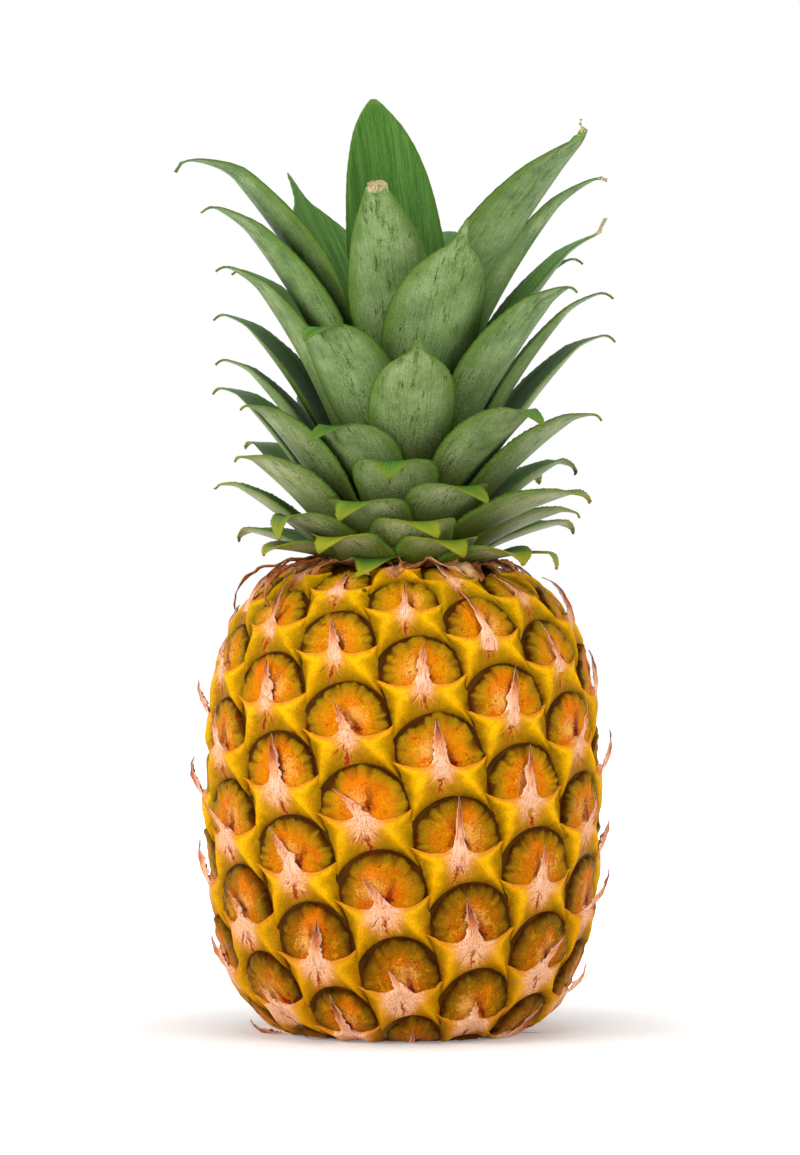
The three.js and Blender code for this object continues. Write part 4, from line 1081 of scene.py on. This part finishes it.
    # Tips turn yellow near the point, sooner on the old leaves low on the crown, and the point dries.
    ripe = addNode(tree, "Math", {0: speckle, 1: -8, 2: marks["toTip"]}, operation="MULTIPLY_ADD")
    yellow = ripe
    for value, share in ((older, -5), (marks["dry"], -3), (edge, -3)):
        yellow = addNode(tree, "Math", {0: value, 1: share, 2: yellow}, operation="MULTIPLY_ADD")
    yellow = addNode(tree, "MapRange", {"Value": yellow, "From Min": 1, "From Max": -9, "To Max": 0.9},
                     interpolation_type="SMOOTHSTEP")
    dry = addNode(tree, "Math", {0: marks["dry"], 1: -3, 2: ripe}, operation="MULTIPLY_ADD")
    dry = addNode(tree, "Math", {0: older, 1: -0.4, 2: dry}, operation="MULTIPLY_ADD")
    dry = addNode(tree, "MapRange", {"Value": dry, "From Min": -3, "From Max": -4.6, "To Max": 0.95},
                  interpolation_type="SMOOTHSTEP")
    yellowing = addNode(tree, "ValToRGB", {"Fac": marks["shade"]}, stops=[
        (0.0, "#98960e"), (0.3, "#868c12"), (0.6, "#5e7c1c"), (1.0, "#5c8230")])
    pale = addNode(tree, "MapRange", {"Value": marks["dry"], "From Min": 0.45, "From Max": 0.9})
    crisp = addNode(tree, "ValToRGB", {"Fac": speckle}, stops=[(0.4, "#5a3814"), (0.6, "#8a6834")])
    bleached = addNode(tree, "ValToRGB", {"Fac": speckle}, stops=[(0.4, "#a48a58"), (0.6, "#d8c8a0")])
    crisp = addNode(tree, "Mix", {0: pale, 6: crisp, 7: bleached}, output=2, data_type="RGBA")
    for mask, tint in ((yellow, yellowing), (dry, crisp)):
        colour = addNode(tree, "Mix", {0: mask, 6: colour, 7: tint}, output=2, data_type="RGBA")
    relief = addNode(tree, "Math", {0: rub, 1: -0.5, 2: veins}, operation="MULTIPLY_ADD")
    finishMaterial(tree, shader, colour, relief, 0.4, 0.0005)
    return made


def makeLeaf(number, material):
    habit = leafHabit(number)
    upTheCrown = number / (crown["count"] - 1)
    height = crown["lowest"] + crown["height"] * upTheCrown ** crown["crowding"]
    foot = (stemRadius(height) + crown["clear"]) / math.cos(crown["clasp"] / 2)
    foot += crown["dropOut"] * habit["drop"]
    height -= habit["drop"]
    opened = lerp(*crown["open"], upTheCrown)
    steps = crown["steps"]
    outline = leafOutlines[habit["tip"]]
    bendFrom = habit["bendFrom"]

    # A folded leaf's outline is given with its fold halfway.
    def placeOn(share):
        if habit["tip"] != "fold":
            return share
        if share < bendFrom:
            return 0.5 * share / bendFrom
        return 0.5 + 0.5 * (share - bendFrom) / (1 - bendFrom)

    widths = [curveAt(outline, placeOn(i / steps)) for i in range(steps + 1)]

    def half(share):
        clasping = crown["clasp"] * foot * crown["claspWide"]
        full = lerp(clasping, habit["width"] / 2, smooth(share, 0, opened))
        return max(widths[round(share * steps)] * full, crown["narrowest"])

    def channel(share):
        return lerp(foot, crown["channel"], smooth(share, 0, 0.4))

    def thick(side, share):
        return lerp(crown["thick"], crown["thinEdge"], abs(side) ** 1.5) * lerp(*crown["thinning"], share)

    def aside(share):
        return habit["sway"] * share * share + habit["aside"] * smooth(share, bendFrom, 1.04)

    dice = random.Random(number)
    line = middleLine(foot, height, habit, steps)
    bm = stripPiece(crown["columns"], steps, line, habit["azimuth"], aside, half, channel, thick,
                    lerp(*crown["teeth"], upTheCrown), dice.random(), upTheCrown, habit["dry"])
    along = bm.verts.layers.float["share"]
    for vert in bm.verts:
        crumple = crown["crumple"] * min(habit["dry"], 1) * smooth(vert[along], *crown["crumpled"])
        vert.co += crumple * noise.noise_vector(vert.co * 0.5)
    name = "crown_leaf_%02d" % (number + 1)
    finishPiece("leaf%02d" % (number + 1), bm, material, [name])


leafSkin = leafMaterial()
for number in range(crown["count"]):
    makeLeaf(number, leafSkin)
print("crown grown")

# Crown stem and cut stalk: (radius, height) from the middle of one end to the middle of the other.
stems = {
    "stem": [(0, 139), (15, 139), (15, 148.4), (22.6, 148.6), (22.9, 149.6), (21.4, 151), (21.2, 153.5),
             (19.2, 155), (18.8, 158), (16.6, 160), (16, 164), (13.4, 167), (12.6, 172), (9.6, 176),
             (8, 182), (4.8, 188), (2, 192.5), (0, 194)],
    "stalk": [(0, 1.4), (3, 1.3), (6, 0.5), (9.5, 0.6), (12, 0.1), (13.2, 0.4), (13.9, 1.6), (13.6, 5),
              (13.9, 9), (13.4, 14), (13.8, 18), (0, 18)],
    "sides": 48,
    "wave": 0.03,  # how uneven the round is, as a share, and waves per millimetre
    "waves": 0.25,
}


def stemMaterial():
    # Leaf-scarred stem and fibrous cut end, dry and matt: tan, with brown rings 2 mm apart and pale fibres
    # 1 mm apart, and green inside the crown.
    made, tree, shader = newMaterial("pineapple stem, dry fibre", 0.8, 0.1)
    place = addNode(tree, "TexCoord", output="Object")
    fibres = addNode(tree, "TexNoise", {"Vector": place, "Scale": 900, "Detail": 4, "Roughness": 0.7})
    rings = addNode(tree, "VectorMath", {0: place, 1: (60, 60, 500)}, operation="MULTIPLY")
    rings = addNode(tree, "TexNoise", {"Vector": rings, "Scale": 1, "Detail": 3})
    colour = addNode(tree, "ValToRGB", {"Fac": rings}, stops=[(0.3, "#4a2c10"), (0.5, "#7c5626"),
                                                              (0.7, "#b08a4c")])
    pale = addNode(tree, "MapRange", {"Value": fibres, "From Min": 0.5, "From Max": 0.7, "To Max": 0.6})
    colour = addNode(tree, "Mix", {0: pale, 6: colour, 7: "#cfae74"}, output=2, data_type="RGBA")
    height = addNode(tree, "SeparateXYZ", {0: place}, output="Z")
    green = addNode(tree, "MapRange", {"Value": height, "From Min": 0.15, "From Max": 0.16})
    young = addNode(tree, "ValToRGB", {"Fac": rings}, stops=[(0.3, "#3c5a1c"), (0.5, "#5c7a2c"),
                                                             (0.7, "#8aa04e")])
    colour = addNode(tree, "Mix", {0: green, 6: colour, 7: young}, output=2, data_type="RGBA")
    finishMaterial(tree, shader, colour, fibres, 0.6, 0.0006)
    return made


def makeStem(name, profile, material, node):
    bm = turnProfile([(r, 0, z) for r, z in profile], stems["sides"])
    for vert in bm.verts:
        wave = 1 + stems["wave"] * noise.noise(vert.co * stems["waves"])
        vert.co.x *= wave
        vert.co.y *= wave
    bmesh.ops.recalc_face_normals(bm, faces=bm.faces)
    finishPiece(name, bm, material, [node])


stemSkin = stemMaterial()
makeStem("crownStem", stems["stem"], stemSkin, "crown_stem")
makeStem("cutStalk", stems["stalk"], stemSkin, "cut_stalk")

# Dried bracts: papery strips at the crown's foot, curled over the fruit's shoulder.
dryForm = {
    "columns": 4,
    "steps": 26,
    "foot": (24.5, 147.4),
    "thick": 0.35,
    "narrowest": 0.15,
    "channel": (9, 2.2),  # radius across the strip, at its foot and at its tip
    "teeth": 0.25,
    "nodes": 5,
    # azimuth, elevation, arch, hook, length, width, sway, twist
    "own": [(-58, 16, 72, 60, 36, 8, 5, 0.9), (-94, 20, 84, 30, 37, 6, -4, 1.4),
            (-75, 26, 92, 70, 26, 7, 6, 1.8), (-40, 18, 60, 50, 17, 9, -5, 1.2),
            (8, 2, 36, 20, 13, 14, -8, 1.2), (24, 4, 50, 40, 16, 15, 9, 1.8),
            (42, 10, 60, 40, 17, 9, -4, 1.2), (60, 20, 80, 80, 15, 7, -8, 1.5),
            (80, 22, 70, 60, 14, 7, 3, 1.7), (-8, 2, 30, 40, 9, 10, 4, 1.3),
            (-22, 6, 40, 40, 12, 9, 3, 1.5), (100, 26, 84, 30, 15, 7, -3, 1.2),
            (124, 18, 76, 60, 20, 7, 5, 1.1), (147, 12, 80, 40, 26, 8, -5, 1.5),
            (170, 20, 90, 20, 22, 6, 3, 1.2), (-112, 14, 80, 40, 33, 7, 4, 1.5),
            (-135, 22, 86, 30, 32, 8, -3, 1.1), (-158, 16, 76, 70, 30, 6, 5, 1.4),
            (185, 12, 70, 40, 24, 7, -4, 1.3), (52, 6, 40, 60, 13, 10, 5, 1.2),
            (-66, 6, 52, 60, 18, 10, -3, 1.6)],
}


def dryMaterial():
    # Dead bract, thin and crisp as paper: fibrous, matt, straw to reddish brown.
    made, tree, shader = newMaterial("pineapple bract, dried", 0.7, 0.1)
    marks = {mark: addNode(tree, "Attribute", output="Fac", attribute_name=mark)
             for mark in ("across", "up", "chance")}
    layer = addNode(tree, "Math", {0: marks["chance"], 1: 57}, operation="MULTIPLY")
    place = addNode(tree, "CombineXYZ", {"X": marks["across"], "Y": marks["up"], "Z": layer})
    fibres = addNode(tree, "VectorMath", {0: place, 1: (2.4, 0.16, 1)}, operation="MULTIPLY")
    fibres = addNode(tree, "TexNoise", {"Vector": fibres, "Scale": 1, "Detail": 4, "Roughness": 0.7})
    blotches = addNode(tree, "TexNoise", {"Vector": place, "Scale": 0.35, "Detail": 3})
    tone = addNode(tree, "Math", {0: marks["chance"], 1: 0.45, 2: fibres}, operation="MULTIPLY_ADD")
    tone = addNode(tree, "Math", {0: blotches, 1: 0.8, 2: tone}, operation="MULTIPLY_ADD")
    tone = addNode(tree, "Math", {0: tone, 1: 0.6}, operation="SUBTRACT")
    colour = addNode(tree, "ValToRGB", {"Fac": tone}, stops=[
        (0.15, "#5b2a12"), (0.35, "#96512a"), (0.55, "#b97a44"), (0.75, "#cf9a66"), (0.95, "#e2b88a")])
    finishMaterial(tree, shader, colour, fibres, 0.7, 0.0005)
    return made


def makeDryBracts():
    whole = bmesh.new()
    joined = bpy.data.meshes.new("dryStrip")
    steps = dryForm["steps"]
    for number, (azimuth, elevation, arch, hook, length, width, sway, twist) in enumerate(dryForm["own"]):
        habit = {"elevation": elevation, "arch": arch, "hook": hook, "length": length,
                 "bendFrom": crown["hookFrom"]}
        dice = random.Random(number + 400)
        seed = dice.random() * 40

        def aside(share):
            return sway * share * share + 1.6 * noise.noise(Vector((share * 5, seed, 0))) * share

        def half(share):
            ragged = 1 + 0.6 * noise.noise(Vector((share * 6, seed, 9)))
            return max(width / 2 * (1 - share) ** 0.7 * ragged, dryForm["narrowest"])

        def channel(share):
            return lerp(*dryForm["channel"], smooth(share, 0.1, 0.7))

        def thick(side, share):
            return dryForm["thick"]

        line = middleLine(*dryForm["foot"], habit, steps)
        bm = stripPiece(dryForm["columns"], steps, line, azimuth, aside, half, channel, thick,
                        dryForm["teeth"], dice.random(), dice.random())
        for vert in bm.verts:
            crumple = Vector(vert.co) * 0.22 + Vector((0, 0, seed))
            vert.co += noise.noise_vector(crumple) * twist
        bm.to_mesh(joined)
        bm.free()
        whole.from_mesh(joined)
        joined.clear_geometry()
    bpy.data.meshes.remove(joined)
    nodes = ["dry_bract_0%d" % (number + 1) for number in range(dryForm["nodes"])]
    finishPiece("dryBracts", whole, dryMaterial(), nodes)


makeDryBracts()
print("collar made")

# Studio.
studio = {
    "camera": (-0.00095, -1.4, 0.1435),
    "height": 0.3656,  # of what the camera takes in at the fruit
    "floor": 3.0,
    "paper": (0.2, 1.0),  # how much white the floor gives off, near the object and away from it
    "fill": 0.32,  # light from all round
    # place, what it points at, size and power
    "softboxAbove": ((0, -0.2, 1.6), (0, 0, 0.1), 1.4, 12),
    "softboxLeft": ((-1.4, -0.9, 0.6), (0, 0, 0.12), 1.0, 17),
    "softboxRight": ((1.4, -0.9, 0.5), (0, 0, 0.12), 1.0, 13),
    "softboxFront": ((-0.7, -1.6, 0.12), (0, 0, 0.14), 1.0, 10),
}


# 1 for rays that show a thing to the camera, straight, in gloss or through glass, and 0 for the others.
def unlit(tree):
    kinds = ("Is Camera Ray", "Is Glossy Ray", "Is Transmission Ray")
    seen = [addNode(tree, "LightPath", output=kind) for kind in kinds]
    either = addNode(tree, "Math", {0: seen[0], 1: seen[1]}, operation="MAXIMUM")
    return addNode(tree, "Math", {0: either, 1: seen[2]}, operation="MAXIMUM")


def makeFloor():
    bm = bmesh.new()
    bmesh.ops.create_grid(bm, x_segments=1, y_segments=1, size=studio["floor"])
    mesh = bpy.data.meshes.new("floor")
    bm.to_mesh(mesh)
    bm.free()
    floor = bpy.data.objects.new("floor", mesh)
    bpy.context.collection.objects.link(floor)
    # White paper: it shows as pure white, but keeps the object's soft shadow close to the object.
    made, tree, shader = newMaterial("studio paper", 0.9, 0.2)
    shader.inputs["Base Color"].default_value = linear("#f4f4f4")
    shader.inputs["Emission Color"].default_value = (1, 1, 1, 1)
    place = addNode(tree, "TexCoord", output="Object")
    away = addNode(tree, "VectorMath", {0: place}, output="Value", operation="LENGTH")
    paper = addNode(tree, "MapRange", {"Value": away, "From Min": 0.06, "From Max": 0.2,
                                       "To Min": studio["paper"][0], "To Max": studio["paper"][1]},
                    interpolation_type="SMOOTHSTEP")
    glow = addNode(tree, "Math", {0: unlit(tree), 1: paper}, operation="MULTIPLY")
    tree.links.new(glow, shader.inputs["Emission Strength"])
    mesh.materials.append(made)


def makeLight(name):
    place, target, size, power = studio[name]
    data = bpy.data.lights.new(name, "AREA")
    data.shape = "DISK"
    data.size = size
    data.energy = power
    lamp = bpy.data.objects.new(name, data)
    lamp.location = place
    lamp.rotation_euler = (Vector(target) - Vector(place)).to_track_quat("-Z", "Y").to_euler()
    bpy.context.collection.objects.link(lamp)


def makeStudio():
    makeFloor()
    for name in ("softboxAbove", "softboxLeft", "softboxRight", "softboxFront"):
        makeLight(name)
    world = bpy.data.worlds.new("studio")
    world.use_nodes = True
    bpy.context.scene.world = world
    tree = world.node_tree
    tree.nodes["Background"].inputs["Color"].default_value = (1, 1, 1, 1)
    glow = addNode(tree, "MapRange", {"Value": unlit(tree), "To Min": studio["fill"]})
    tree.links.new(glow, tree.nodes["Background"].inputs["Strength"])
    data = bpy.data.cameras.new("camera")
    data.sensor_fit = "VERTICAL"
    data.angle = 2 * math.atan(studio["height"] / 2 / -studio["camera"][1])
    camera = bpy.data.objects.new("camera", data)
    camera.location = studio["camera"]
    camera.rotation_euler = (math.pi / 2, 0, 0)
    bpy.context.collection.objects.link(camera)
    bpy.context.scene.camera = camera
    bpy.context.scene.view_settings.view_transform = "Standard"


makeStudio()
print("studio set")
